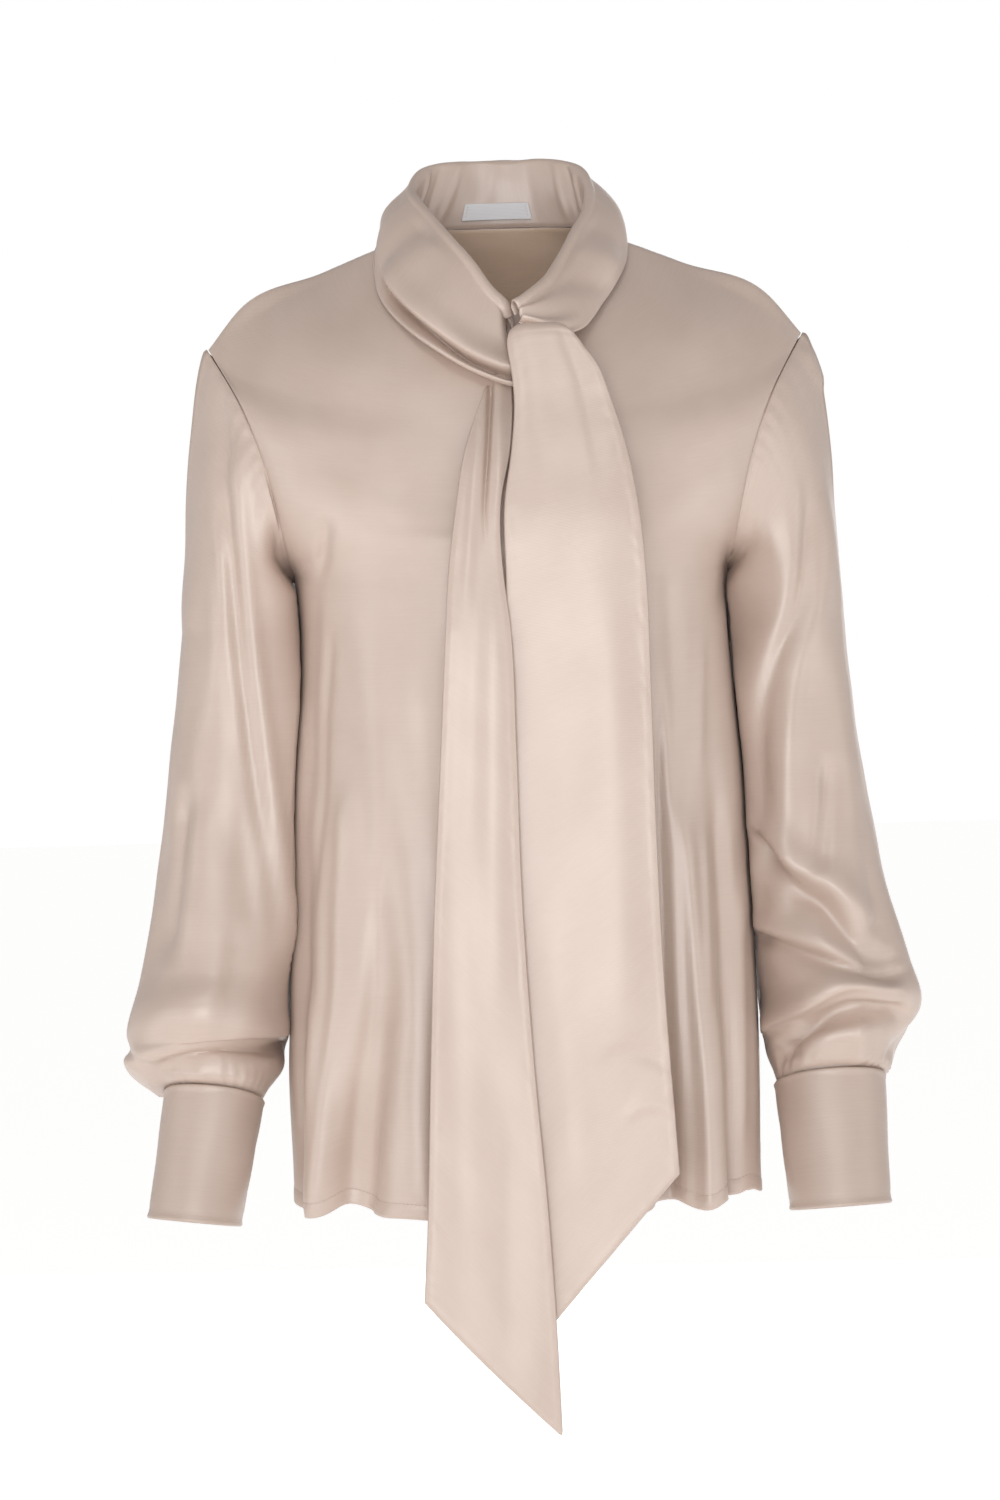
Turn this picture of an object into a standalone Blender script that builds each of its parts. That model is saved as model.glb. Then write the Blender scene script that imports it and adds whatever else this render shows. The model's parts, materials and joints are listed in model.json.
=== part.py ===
"""Tie neck blouse, hollow and standing in its worn form, with a rolled band collar and two long tie ends.

Metres, +Z up, +X to the wearer's left, -Y to the front. The origin is the middle of the neck base, level with
the neck ends of the shoulder seams, where the wearer holds the garment up. Every piece is a cloth wall worked
out from a sheet of points: the sheet is the outer face, a copy moved in by the cloth's thickness is the inner
face, and its free edges are closed by a rim.
"""

import math
from collections import namedtuple

import bpy
import numpy as np
from mathutils.bvhtree import BVHTree

# Cloth walls and clearances
BODY_CLOTH = 0.0014
BAND_CLOTH = 0.0014
TIE_CLOTH = 0.0024
CUFF_CLOTH = 0.0022
LABEL_CLOTH = 0.0008
SEAM_GAP = 0.0004
SLEEVE_GAP = 0.0006
LYING_GAP = 0.0006
BAND_LYING_GAP = 0.0034
ARM_GAP = 0.0022

# Grid of each piece: columns across a panel or round a tube, rows along it
FRONT_COLUMNS = 32
BACK_COLUMNS = 24
HEM_TO_UNDERARM_ROWS = 10
ARMHOLE_ROWS = 10
SHOULDER_ROWS = 5
SLEEVE_HEAD_ROWS = 7
SLEEVE_ROWS = 18
CUFF_ROWS = 3
BAND_FRONT_STATIONS = 10
BAND_BACK_STATIONS = 14
TIE_COLUMNS = 6
TIE_ROWS = 20

# Body, by "up": 0 at the hem, 1 at the underarm, 2 at the shoulder tip, 3 at the neckline
Middle = namedtuple("Middle", "up front front_height back back_height turn")
MIDDLES = (
    Middle(0.00, 0.132, -0.665, 0.113, -0.668, 90),
    Middle(0.30, 0.129, -0.536, 0.105, -0.538, 90),
    Middle(0.60, 0.126, -0.407, 0.098, -0.407, 90),
    Middle(0.80, 0.125, -0.321, 0.098, -0.320, 90),
    Middle(1.00, 0.127, -0.237, 0.104, -0.236, 88),
    Middle(1.35, 0.123, -0.198, 0.106, -0.190, 68),
    Middle(1.70, 0.114, -0.158, 0.104, -0.136, 61),
    Middle(2.00, 0.103, -0.124, 0.097, -0.088, 66),
    Middle(2.50, 0.087, -0.086, 0.078, -0.026, 80),
    Middle(3.00, 0.070, -0.054, 0.055, 0.013, 90),
)
Edge = namedtuple("Edge", "up out fore back height")
SIDE_SEAM = (
    Edge(0.00, 0.160, 0.0, 0.0, -0.632),
    Edge(0.30, 0.161, 0.0, 0.0, -0.516),
    Edge(0.60, 0.1565, 0.0, 0.0, -0.393),
    Edge(0.80, 0.1500, 0.0, 0.0, -0.310),
    Edge(0.92, 0.1470, 0.0, 0.0, -0.261),
    Edge(1.00, 0.1500, 0.0, 0.0, -0.228),
)
ARMHOLE = (
    Edge(1.00, 0.1500, 0.000, 0.000, -0.228),
    Edge(1.16, 0.1530, 0.040, 0.040, -0.216),
    Edge(1.36, 0.1585, 0.064, 0.066, -0.187),
    Edge(1.60, 0.1680, 0.067, 0.073, -0.148),
    Edge(1.80, 0.1830, 0.050, 0.057, -0.109),
    Edge(2.00, 0.2050, 0.000, 0.000, -0.070),
)
SHOULDER_SEAM = (
    Edge(2.00, 0.2050, 0.0, 0.0, -0.070),
    Edge(2.20, 0.1810, 0.0, 0.0, -0.041),
    Edge(2.60, 0.1250, 0.0, 0.0, -0.019),
    Edge(3.00, 0.0660, 0.0, 0.0, 0.004),
)
PLAN_SQUARENESS = 0.88
HEM_SWEEP = 9.0
CHEST_SWEEP = 2.0
SLIT_BOTTOM_UP = 1.0
SLIT_HALF_TOP = 0.0020
SLIT_HALF_BOTTOM = 0.0003

# Soft folds of the body: places across a panel, from -1 at the wearer's right seam to 1 at the left one.
# A fold runs from "top" down to the hem, deepest there. Depth is outward, so a trough has a minus sign.
Fold = namedtuple("Fold", "hem_place top_place depth width top")
FRONT_FOLDS = (
    Fold(-0.86, -0.84, 0.004, 0.050, 0.85),
    Fold(-0.76, -0.70, -0.006, 0.050, 0.95),
    Fold(-0.66, -0.62, 0.011, 0.065, 0.90),
    Fold(-0.53, -0.25, -0.015, 0.075, 0.62),
    Fold(-0.34, -0.28, 0.006, 0.090, 0.70),
    Fold(-0.10, -0.08, -0.007, 0.080, 0.60),
    Fold(0.12, 0.10, 0.004, 0.080, 0.65),
    Fold(0.26, 0.22, -0.006, 0.070, 0.60),
    Fold(0.40, 0.37, -0.014, 0.062, 0.68),
    Fold(0.54, 0.52, 0.010, 0.070, 0.80),
    Fold(0.67, 0.60, -0.006, 0.050, 1.10),
    Fold(0.80, 0.76, 0.005, 0.055, 0.95),
)
BACK_FOLDS = (
    Fold(-0.80, -0.74, 0.006, 0.070, 0.90),
    Fold(-0.62, -0.56, -0.010, 0.070, 0.80),
    Fold(-0.42, -0.36, 0.012, 0.085, 0.90),
    Fold(-0.20, -0.16, -0.009, 0.080, 0.70),
    Fold(0.02, 0.00, 0.009, 0.085, 0.85),
    Fold(0.22, 0.18, -0.011, 0.075, 0.80),
    Fold(0.44, 0.38, 0.011, 0.085, 0.95),
    Fold(0.64, 0.56, -0.008, 0.070, 0.75),
    Fold(0.82, 0.76, 0.005, 0.065, 0.90),
)

# Sleeves: the inner and outer sides of the tube, and how far it reaches forward and back
SleeveRing = namedtuple("SleeveRing", "height inner outer front back rise")
RIGHT_SLEEVE = (
    SleeveRing(-0.265, 0.1465, 0.2285, 0.054, 0.070, 0.00),
    SleeveRing(-0.310, 0.1440, 0.2340, 0.056, 0.068, 0.00),
    SleeveRing(-0.360, 0.1460, 0.2400, 0.060, 0.064, 0.02),
    SleeveRing(-0.410, 0.1500, 0.2475, 0.066, 0.060, 0.05),
    SleeveRing(-0.460, 0.1520, 0.2550, 0.075, 0.055, 0.10),
    SleeveRing(-0.505, 0.1550, 0.2630, 0.086, 0.049, 0.15),
    SleeveRing(-0.537, 0.1600, 0.2720, 0.095, 0.042, 0.20),
    SleeveRing(-0.549, 0.1640, 0.2740, 0.087, 0.036, 0.22),
    SleeveRing(-0.564, 0.1660, 0.2740, 0.090, 0.028, 0.24),
    SleeveRing(-0.577, 0.1760, 0.2560, 0.084, 0.004, 0.26),
)
LEFT_SLEEVE = (
    SleeveRing(-0.265, 0.1500, 0.2285, 0.054, 0.070, 0.00),
    SleeveRing(-0.310, 0.1460, 0.2315, 0.056, 0.068, 0.00),
    SleeveRing(-0.360, 0.1500, 0.2365, 0.060, 0.064, 0.02),
    SleeveRing(-0.410, 0.1530, 0.2440, 0.066, 0.060, 0.05),
    SleeveRing(-0.460, 0.1560, 0.2535, 0.075, 0.055, 0.10),
    SleeveRing(-0.505, 0.1600, 0.2660, 0.086, 0.049, 0.15),
    SleeveRing(-0.534, 0.1620, 0.2725, 0.094, 0.042, 0.20),
    SleeveRing(-0.550, 0.1640, 0.2680, 0.087, 0.036, 0.22),
    SleeveRing(-0.564, 0.1650, 0.2560, 0.089, 0.028, 0.24),
    SleeveRing(-0.577, 0.1690, 0.2490, 0.084, 0.004, 0.26),
)
SLEEVE_TUCK = 0.026
SLEEVE_SQUARENESS = 0.92
RIGHT_HEAD_PUFF = 0.032
LEFT_HEAD_PUFF = 0.048
HEAD_DROP = 0.165
BELOW_CAP_ROW = 2

# Folds of a sleeve: "angle" runs from 0 at the outer side by 90 at the front to 180 at the inner side
SleeveFold = namedtuple("SleeveFold", "top bottom top_angle bottom_angle depth width")
RIGHT_SLEEVE_FOLDS = (
    SleeveFold(-0.120, -0.500, 104, 142, 0.008, 20),
    SleeveFold(-0.150, -0.520, 138, 178, -0.009, 24),
    SleeveFold(-0.180, -0.500, 64, 86, 0.003, 14),
    SleeveFold(-0.380, -0.520, 20, 36, -0.005, 15),
    SleeveFold(-0.240, -0.540, 236, 214, -0.008, 18),
    SleeveFold(-0.330, -0.560, 300, 286, 0.007, 20),
)
LEFT_SLEEVE_FOLDS = (
    SleeveFold(-0.130, -0.330, 62, 150, -0.006, 24),
    SleeveFold(-0.160, -0.480, 96, 118, 0.005, 18),
    SleeveFold(-0.300, -0.520, 140, 176, -0.008, 24),
    SleeveFold(-0.380, -0.540, 36, 60, -0.006, 14),
    SleeveFold(-0.240, -0.540, 232, 212, -0.008, 18),
    SleeveFold(-0.330, -0.560, 298, 284, 0.007, 20),
)

# Cuffs: the middles and half sizes of their upper and lower ends
Cuff = namedtuple("Cuff", "top_out top_fore top_height low_out low_fore low_height top_half low_half depth_half")
RIGHT_CUFF = Cuff(0.2130, 0.042, -0.5830, 0.2275, 0.064, -0.6650, 0.0320, 0.0298, 0.0365)
LEFT_CUFF = Cuff(0.2070, 0.042, -0.5835, 0.2105, 0.064, -0.6670, 0.0360, 0.0325, 0.0365)
CUFF_RISE = 0.27

# Rolled band collar, by "round": 0 at the back of the neck, -1 and 1 at the front ends
Band = namedtuple("Band", "round fold_x fold_y fold_z edge_x edge_y edge_z")
BANDS = (
    Band(-1.06, 0.005, -0.087, -0.060, 0.014, -0.103, -0.104),
    Band(-1.00, 0.001, -0.089, -0.050, 0.003, -0.107, -0.109),
    Band(-0.96, -0.007, -0.086, -0.042, -0.017, -0.104, -0.101),
    Band(-0.88, -0.020, -0.073, -0.021, -0.050, -0.090, -0.080),
    Band(-0.79, -0.034, -0.054, -0.002, -0.073, -0.066, -0.059),
    Band(-0.70, -0.045, -0.033, 0.013, -0.085, -0.044, -0.040),
    Band(-0.60, -0.055, -0.012, 0.027, -0.088, -0.020, -0.020),
    Band(-0.50, -0.0605, 0.010, 0.039, -0.085, 0.008, 0.003),
    Band(-0.36, -0.053, 0.037, 0.055, -0.068, 0.050, 0.008),
    Band(-0.20, -0.030, 0.052, 0.0605, -0.040, 0.072, 0.009),
    Band(0.00, 0.000, 0.057, 0.061, 0.000, 0.080, 0.008),
    Band(0.20, 0.030, 0.052, 0.0605, 0.040, 0.072, 0.009),
    Band(0.36, 0.053, 0.037, 0.055, 0.068, 0.050, 0.008),
    Band(0.50, 0.0605, 0.010, 0.037, 0.085, 0.008, 0.003),
    Band(0.60, 0.0570, -0.014, 0.018, 0.086, -0.020, -0.015),
    Band(0.70, 0.0480, -0.036, 0.002, 0.080, -0.044, -0.031),
    Band(0.80, 0.0380, -0.058, -0.018, 0.068, -0.068, -0.050),
    Band(0.88, 0.0290, -0.077, -0.034, 0.052, -0.095, -0.070),
    Band(0.95, 0.0160, -0.092, -0.045, 0.030, -0.104, -0.073),
    Band(1.00, 0.0070, -0.097, -0.050, 0.010, -0.106, -0.066),
)
BAND_SEWN_TO = 0.84
BAND_BASE_LIFT = 0.0012
BAND_BASE_DROP = 0.010
BAND_BASE_BACK = 0.006
BAND_ROLL = 0.0042
BAND_BULGE = 0.007
STAND_POINTS = 3
ROLL_POINTS = 4
FALL_POINTS = 4

# Ties, by height: their two side edges and how far in front of the neck their faces hang
TieRow = namedtuple("TieRow", "height right left fore")
OVER_TIE = (
    TieRow(-0.062, 0.012, 0.034, 0.0900),
    TieRow(-0.070, 0.005, 0.039, 0.0940),
    TieRow(-0.080, 0.003, 0.048, 0.1010),
    TieRow(-0.092, 0.004, 0.058, 0.1090),
    TieRow(-0.120, 0.0055, 0.069, 0.1215),
    TieRow(-0.150, 0.003, 0.0775, 0.1320),
    TieRow(-0.190, -0.003, 0.0845, 0.1395),
    TieRow(-0.240, -0.0035, 0.0885, 0.1425),
    TieRow(-0.300, -0.007, 0.0895, 0.1420),
    TieRow(-0.400, -0.007, 0.0900, 0.1415),
    TieRow(-0.520, -0.004, 0.0930, 0.1420),
    TieRow(-0.636, 0.002, 0.0990, 0.1430),
    TieRow(-0.740, 0.010, 0.1040, 0.1430),
)
UNDER_TIE = (
    TieRow(-0.100, -0.009, 0.003, 0.0965),
    TieRow(-0.112, -0.014, 0.003, 0.1035),
    TieRow(-0.126, -0.020, 0.003, 0.1125),
    TieRow(-0.150, -0.028, 0.001, 0.1250),
    TieRow(-0.190, -0.0355, -0.0065, 0.1365),
    TieRow(-0.237, -0.042, -0.0058, 0.1430),
    TieRow(-0.270, -0.0445, -0.0025, 0.1470),
    TieRow(-0.350, -0.050, -0.001, 0.1480),
    TieRow(-0.450, -0.057, 0.000, 0.1475),
    TieRow(-0.566, -0.063, 0.005, 0.1480),
    TieRow(-0.671, -0.068, 0.012, 0.1485),
    TieRow(-0.728, -0.072, 0.0145, 0.1490),
    TieRow(-0.806, -0.076, 0.0165, 0.1490),
)
OVER_TIE_CORNERS = (-0.736, -0.636)
UNDER_TIE_CORNERS = (-0.716, -0.806)
TIE_BOW = 0.003

# Knot: the gathered crossing behind the upper end of the over tie
KNOT_MIDDLE = (0.031, -0.0996, -0.090)
KNOT_HALF_SIZES = (0.012, 0.0045, 0.013)
KNOT_LEAN = 0.55
KNOT_PLEATS = 5
KNOT_PLEAT_DEPTH = 0.06
KNOT_ROWS = 9
KNOT_COLUMNS = 20

# Label inside the back of the band, and the thread loop across the top of the slit
LABEL_HALF_WIDTH = 0.026
LABEL_LOW = 0.10
LABEL_HIGH = 0.42
LABEL_COLUMNS = 8
LOOP_HALF_SPAN = 0.0035
LOOP_FORE = 0.0787
LOOP_HEIGHT = -0.0535
LOOP_SAG = 0.0030
LOOP_RADIUS = 0.0006

# Cloth colours, sRGB
SATIN = (0.80, 0.73, 0.68)
SATIN_SHADE = (0.76, 0.69, 0.64)
LABEL_WHITE = (0.86, 0.86, 0.87)
THREAD = (0.82, 0.76, 0.70)


def smooth(knots, values, at):
    """The cubic curve through the values: at each knot its slope is the weighted mean of both sides' slopes."""
    knots = np.asarray(knots, float)
    values = np.asarray(values, float)
    at = np.clip(np.asarray(at, float), knots[0], knots[-1])
    steps = np.diff(knots)
    slopes = np.diff(values) / steps
    inner = (slopes[:-1] * steps[1:] + slopes[1:] * steps[:-1]) / (steps[1:] + steps[:-1])
    tangents = np.concatenate([slopes[:1], inner, slopes[-1:]])
    span = np.clip(np.searchsorted(knots, at, side="right") - 1, 0, len(steps) - 1)
    width = steps[span]
    t = (at - knots[span]) / width
    start = values[span] * (1 + 2 * t) * (1 - t) ** 2 + tangents[span] * width * t * (1 - t) ** 2
    end = values[span + 1] * t * t * (3 - 2 * t) + tangents[span + 1] * width * t * t * (t - 1)
    return start + end


def column(table, key, name, at):
    """One named column of a table, read as a smooth curve over its key column."""
    return smooth([getattr(row, key) for row in table], [getattr(row, name) for row in table], at)


def ease(value):
    """0 below 0, 1 above 1, with a level start and end between them."""
    value = np.clip(value, 0.0, 1.0)
    return value * value * (3 - 2 * value)


def unit(vectors):
    """The vectors, each made one long."""
    return vectors / np.maximum(np.linalg.norm(vectors, axis=-1, keepdims=True), 1e-12)


def seam_edge(side, up):
    """Out, y and height of a panel's side edge: side seam, then armhole, then shoulder seam."""
    reach = "fore" if side == "front" else "back"
    sign = -1.0 if side == "front" else 1.0
    parts = (SIDE_SEAM, ARMHOLE, SHOULDER_SEAM)
    zone = np.clip(np.ceil(np.round(up, 6)).astype(int) - 1, 0, 2)
    out, y, height = (np.zeros(np.shape(up)) for _ in range(3))
    for number, table in enumerate(parts):
        here = zone == number
        out[here] = column(table, "up", "out", up[here])
        y[here] = sign * column(table, "up", reach, up[here])
        height[here] = column(table, "up", "height", up[here])
    return out, y + sign * SEAM_GAP / 2, height


def fold_height(folds, across, up):
    """How far the folds move a panel's points outward."""
    total = np.zeros(np.broadcast(across, up).shape)
    for fold in folds:
        grown = ease(1 - up / fold.top) ** 1.4
        place = fold.hem_place + (fold.top_place - fold.hem_place) * np.clip(up / fold.top, 0, 1)
        total += fold.depth * grown * np.exp(-(((across - place) / fold.width) ** 2))
    at_seam = ease((1 - np.abs(across)) / 0.12)
    return total * at_seam


def panel_points(side, across, up):
    """Points of the front or back: each row is an arc from the middle to the side edge.

    across runs from -1 to 1 and up from 0 to 3. The arc turns by "turn" degrees, so it ends square to the side
    seam below the underarm and flatter at the armhole; its height eases from the middle's to the edge's.
    """
    across, up = np.broadcast_arrays(np.asarray(across, float), np.asarray(up, float))
    sign = -1.0 if side == "front" else 1.0
    out, edge_y, edge_height = seam_edge(side, up)
    middle_y = sign * column(MIDDLES, "up", side, up)
    middle_height = column(MIDDLES, "up", side + "_height", up)
    turn = np.radians(column(MIDDLES, "up", "turn", up))
    t = np.abs(across)
    sine = (np.sin(t * turn) / np.sin(turn)) ** PLAN_SQUARENESS
    drop = 1 - np.maximum(np.cos(t * turn), 0.0) ** PLAN_SQUARENESS
    full_drop = 1 - np.maximum(np.cos(turn), 0.0) ** PLAN_SQUARENESS
    x = np.sign(across) * out * sine
    y = middle_y + (edge_y - middle_y) * drop / full_drop
    sweep = CHEST_SWEEP + (HEM_SWEEP - CHEST_SWEEP) * ease(1 - up)
    z = middle_height + (edge_height - middle_height) * t**sweep
    folds = FRONT_FOLDS if side == "front" else BACK_FOLDS
    raised = fold_height(folds, across, up)
    facing_x = np.sign(across) * np.sin(t * turn)
    facing_y = sign * np.cos(t * turn)
    return np.stack([x + raised * facing_x, y + raised * facing_y, z], axis=-1)


def row_levels():
    """The rows' up values, and the rows where the armhole starts and ends."""
    hem = np.linspace(0, 1, HEM_TO_UNDERARM_ROWS + 1)
    armhole = np.linspace(1, 2, ARMHOLE_ROWS + 1)
    shoulder = np.linspace(2, 3, SHOULDER_ROWS + 1)
    ups = np.concatenate([hem, armhole[1:], shoulder[1:]])
    return ups, HEM_TO_UNDERARM_ROWS, HEM_TO_UNDERARM_ROWS + ARMHOLE_ROWS


class Sheet:
    """A sheet of cloth: points, four-cornered faces that turn outward, and a normal at each point."""

    def __init__(self, points, faces, outward):
        self.points = points.reshape(-1, 3)
        self.faces = np.asarray(faces, int)
        self.normals = self.point_normals()
        middle = self.normals[outward[0]] @ np.asarray(outward[1], float)
        if middle < 0:
            self.faces = self.faces[:, ::-1]
            self.normals = -self.normals

    def point_normals(self):
        """Each point's normal, from the mean of its faces' normals."""
        corners = self.points[self.faces]
        face_normals = np.cross(corners[:, 2] - corners[:, 0], corners[:, 3] - corners[:, 1])
        normals = np.zeros_like(self.points)
        for corner in range(4):
            np.add.at(normals, self.faces[:, corner], face_normals)
        return unit(normals)

    def free_edges(self):
        """Edges with a face on one side only, in that face's direction."""
        starts = self.faces
        ends = np.roll(self.faces, -1, axis=1)
        forward = set(zip(starts.ravel().tolist(), ends.ravel().tolist()))
        return [(a, b) for a, b in sorted(forward) if (b, a) not in forward]

    def triangles(self):
        """The faces split along their shorter diagonals, so that both sides of a wall split alike."""
        a, b, c, d = (self.faces[:, corner] for corner in range(4))
        across = np.linalg.norm(self.points[a] - self.points[c], axis=1)
        other = np.linalg.norm(self.points[b] - self.points[d], axis=1)
        one = np.where((across <= other)[:, None], np.stack([a, b, c], axis=1), np.stack([a, b, d], axis=1))
        two = np.where((across <= other)[:, None], np.stack([a, c, d], axis=1), np.stack([b, c, d], axis=1))
        return np.concatenate([one, two])

    def wall(self, thickness):
        """Points and faces of the closed wall that the sheet makes with its thickness."""
        count = len(self.points)
        inner = self.points - self.normals * thickness
        outer_faces = self.triangles()
        faces = outer_faces.tolist()
        faces += (outer_faces[:, ::-1] + count).tolist()
        for a, b in self.free_edges():
            faces += [(b, a, a + count), (b, a + count, b + count)]
        return np.concatenate([self.points, inner]), faces


def grid_faces(rows, columns, closed=False):
    """Faces of a grid of points, whose columns may close into a tube."""
    count = columns if closed else columns + 1
    faces = []
    for row in range(rows):
        for col in range(columns):
            nxt = (col + 1) % count
            faces.append((row * count + col, row * count + nxt, (row + 1) * count + nxt, (row + 1) * count + col))
    return faces


def share_normals(first, first_points, second, second_points, valley=False):
    """Turns paired points' normals to their mean, so that the rims lie side by side.

    In a valley the rims already part where it is sharp, so there each sheet keeps its own normal.
    """
    one = first.normals[first_points]
    other = second.normals[second_points]
    mean = unit(one + other)
    share = ease(np.sum(one * other, axis=-1, keepdims=True) / 0.5) if valley else 1.0
    first.normals[first_points] = unit(one + (mean - one) * share)
    second.normals[second_points] = unit(other + (mean - other) * share)


def front_sheet():
    """The front, one piece with a slit at its middle from the neckline down to the underarm's level."""
    ups, _, _ = row_levels()
    across = np.linspace(-1, 1, FRONT_COLUMNS + 1)
    grid = panel_points("front", across[None, :], ups[:, None])
    rows = len(ups) - 1
    half = FRONT_COLUMNS // 2
    faces = grid_faces(rows, FRONT_COLUMNS)
    points = grid.reshape(-1, 3)
    width = FRONT_COLUMNS + 1
    open_rows = [row for row, up in enumerate(ups) if up > SLIT_BOTTOM_UP + 1e-6]
    copies = {}
    for row in open_rows:
        level = (ups[row] - SLIT_BOTTOM_UP) / (3 - SLIT_BOTTOM_UP)
        opening = SLIT_HALF_BOTTOM + (SLIT_HALF_TOP - SLIT_HALF_BOTTOM) * level**3
        point = row * width + half
        points[point, 0] = -opening
        copies[point] = len(points) + len(copies)
    extra = points[list(copies)] * np.array([-1.0, 1.0, 1.0])
    points = np.concatenate([points, extra])
    split = []
    for number, face in enumerate(faces):
        right_half = number % FRONT_COLUMNS >= half
        split.append(tuple(copies.get(p, p) for p in face) if right_half else face)
    return Sheet(points, split, (half, (0, -1, 0)))


def back_sheet():
    """The back, one plain piece."""
    ups, _, _ = row_levels()
    across = np.linspace(-1, 1, BACK_COLUMNS + 1)
    grid = panel_points("back", across[None, :], ups[:, None])
    return Sheet(grid, grid_faces(len(ups) - 1, BACK_COLUMNS), (BACK_COLUMNS // 2, (0, 1, 0)))


def armhole_loop(side_sign):
    """The armhole's points and the ways out of it, from the underarm up the front and down the back."""
    ups = np.linspace(1, 2, ARMHOLE_ROWS + 1)
    step = 0.02
    loops = []
    for side in ("front", "back"):
        edge = panel_points(side, np.full_like(ups, side_sign), ups)
        inside = panel_points(side, np.full_like(ups, side_sign * (1 - step)), ups)
        loops.append((edge, unit(edge - inside)))
    (front, front_out), (back, back_out) = loops
    points = np.concatenate([front[:-1], back[:0:-1]])
    ways = np.concatenate([front_out[:-1], back_out[:0:-1]])
    for place, number in ((0, 0), (ARMHOLE_ROWS, ARMHOLE_ROWS)):
        points[place] = (front[number] + back[number]) / 2
        ways[place] = unit(front_out[number] + back_out[number])
    return points, ways


def ring_angles():
    """Angles round a sleeve that match the armhole's points: the inner side, the front, the outer side, the back."""
    count = 2 * ARMHOLE_ROWS
    return np.pi - 2 * np.pi * np.arange(count) / count


def oval(side_sign, angles, inner, outer, front, back, height, rise, tuck=0.0):
    """One ring of a tube: an oval between its inner, outer, front and back reaches.

    Its front is lifted by "rise", and its inner side is moved back by "tuck", behind the body's side.
    """
    middle_x = (inner + outer) / 2
    middle_y = (back - front) / 2
    cosine = np.cos(angles)
    sine = np.sin(angles)
    x = middle_x + (outer - inner) / 2 * np.sign(cosine) * np.abs(cosine) ** SLEEVE_SQUARENESS
    y = middle_y - (front + back) / 2 * np.sign(sine) * np.abs(sine) ** SLEEVE_SQUARENESS
    y = y + tuck * np.clip(-cosine, 0, 1) ** 2
    z = height - rise * (y - middle_y)
    return np.stack([side_sign * x, y, z], axis=-1)


def cuff_ring(side_sign, cuff, along, angles):
    """A ring of the cuff, from 0 at its seam to 1 at its open end."""
    out = cuff.top_out + (cuff.low_out - cuff.top_out) * along
    fore = cuff.top_fore + (cuff.low_fore - cuff.top_fore) * along
    height = cuff.top_height + (cuff.low_height - cuff.top_height) * along
    half = cuff.top_half + (cuff.low_half - cuff.top_half) * along
    depth = cuff.depth_half
    return oval(side_sign, angles, out - half, out + half, fore + depth, depth - fore, height, CUFF_RISE)


def sleeve_fold_height(folds, angles, heights):
    """How far the sleeve's folds move its points outward."""
    degrees = np.degrees(angles) % 360
    total = np.zeros(np.broadcast(angles, heights).shape)
    for fold in folds:
        along = (fold.top - heights) / (fold.top - fold.bottom)
        grown = ease(along / 0.35) * ease((1 - along) / 0.25)
        place = fold.top_angle + (fold.bottom_angle - fold.top_angle) * np.clip(along, 0, 1)
        apart = (degrees - place + 180) % 360 - 180
        total += fold.depth * grown * np.exp(-((apart / fold.width) ** 2))
    return total


def sleeve_sheet(side_sign, rings, folds, cuff, puff, tree):
    """A sleeve: from the armhole over the shoulder's cap, down the arm, and into the cuff's seam.

    Below its cap it is moved clear of the body that it hangs beside.
    """
    angles = ring_angles()
    start, ways = armhole_loop(side_sign)
    outward = np.array([side_sign, 0.0, 0.0])
    start = start + unit(ways + outward) * SLEEVE_GAP
    first = rings[0]
    target = oval(side_sign, angles, *first[1:5], first.height, first.rise, SLEEVE_TUCK)
    leave = unit(ways * 0.5 + np.array([side_sign * 1.0, 0.0, -0.35]))
    reach = np.linalg.norm(target - start, axis=1, keepdims=True)
    leave = leave * np.minimum(puff, reach)
    arrive = np.array([0.0, 0.0, -1.0]) * np.minimum(HEAD_DROP, reach)
    rows = []
    for t in np.linspace(0, 1, SLEEVE_HEAD_ROWS + 1):
        early = start * (1 + 2 * t) * (1 - t) ** 2 + leave * t * (1 - t) ** 2
        late = target * t * t * (3 - 2 * t) + arrive * t * t * (t - 1)
        rows.append(early + late)
    key = [-ring.height for ring in rings]
    lengths = np.linspace(key[0], key[-1], SLEEVE_ROWS)[1:]
    for length in lengths:
        sizes = [smooth(key, [getattr(ring, name) for ring in rings], length) for name in SleeveRing._fields[1:]]
        tuck = SLEEVE_TUCK * ease((-length - rings[-1].height) / 0.06)
        rows.append(oval(side_sign, angles, *sizes[:4], -length, sizes[4], tuck))
    seam = cuff_ring(side_sign, cuff, 0.0, angles)
    axis = unit(cuff_ring(side_sign, cuff, 1.0, angles) - seam)
    rows.append(seam - axis * SEAM_GAP)
    grid = np.stack(rows)
    centres = grid.mean(axis=1, keepdims=True)
    away = unit((grid - centres) * np.array([1.0, 1.0, 0.0]))
    raised = sleeve_fold_height(folds, angles[None, :], grid[:, :, 2])
    fade = np.ones(len(grid))
    fade[0] = 0.0
    fade[-1] = 0.0
    grid = grid + away * (raised * fade[:, None])[..., None]
    hanging = grid[BELOW_CAP_ROW:-1]
    grid[BELOW_CAP_ROW:-1] = push_clear(hanging.reshape(-1, 3), tree, ARM_GAP).reshape(hanging.shape)
    return Sheet(grid, grid_faces(len(grid) - 1, len(angles), closed=True), (len(angles) * 8, away[8, 0]))


def cuff_sheet(side_sign, cuff):
    """A plain closed cuff."""
    angles = ring_angles()
    grid = np.stack([cuff_ring(side_sign, cuff, along, angles) for along in np.linspace(0, 1, CUFF_ROWS + 1)])
    away = unit(grid[1, 0] - grid[1].mean(axis=0))
    return Sheet(grid, grid_faces(CUFF_ROWS, len(angles), closed=True), (len(angles), away))


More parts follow.
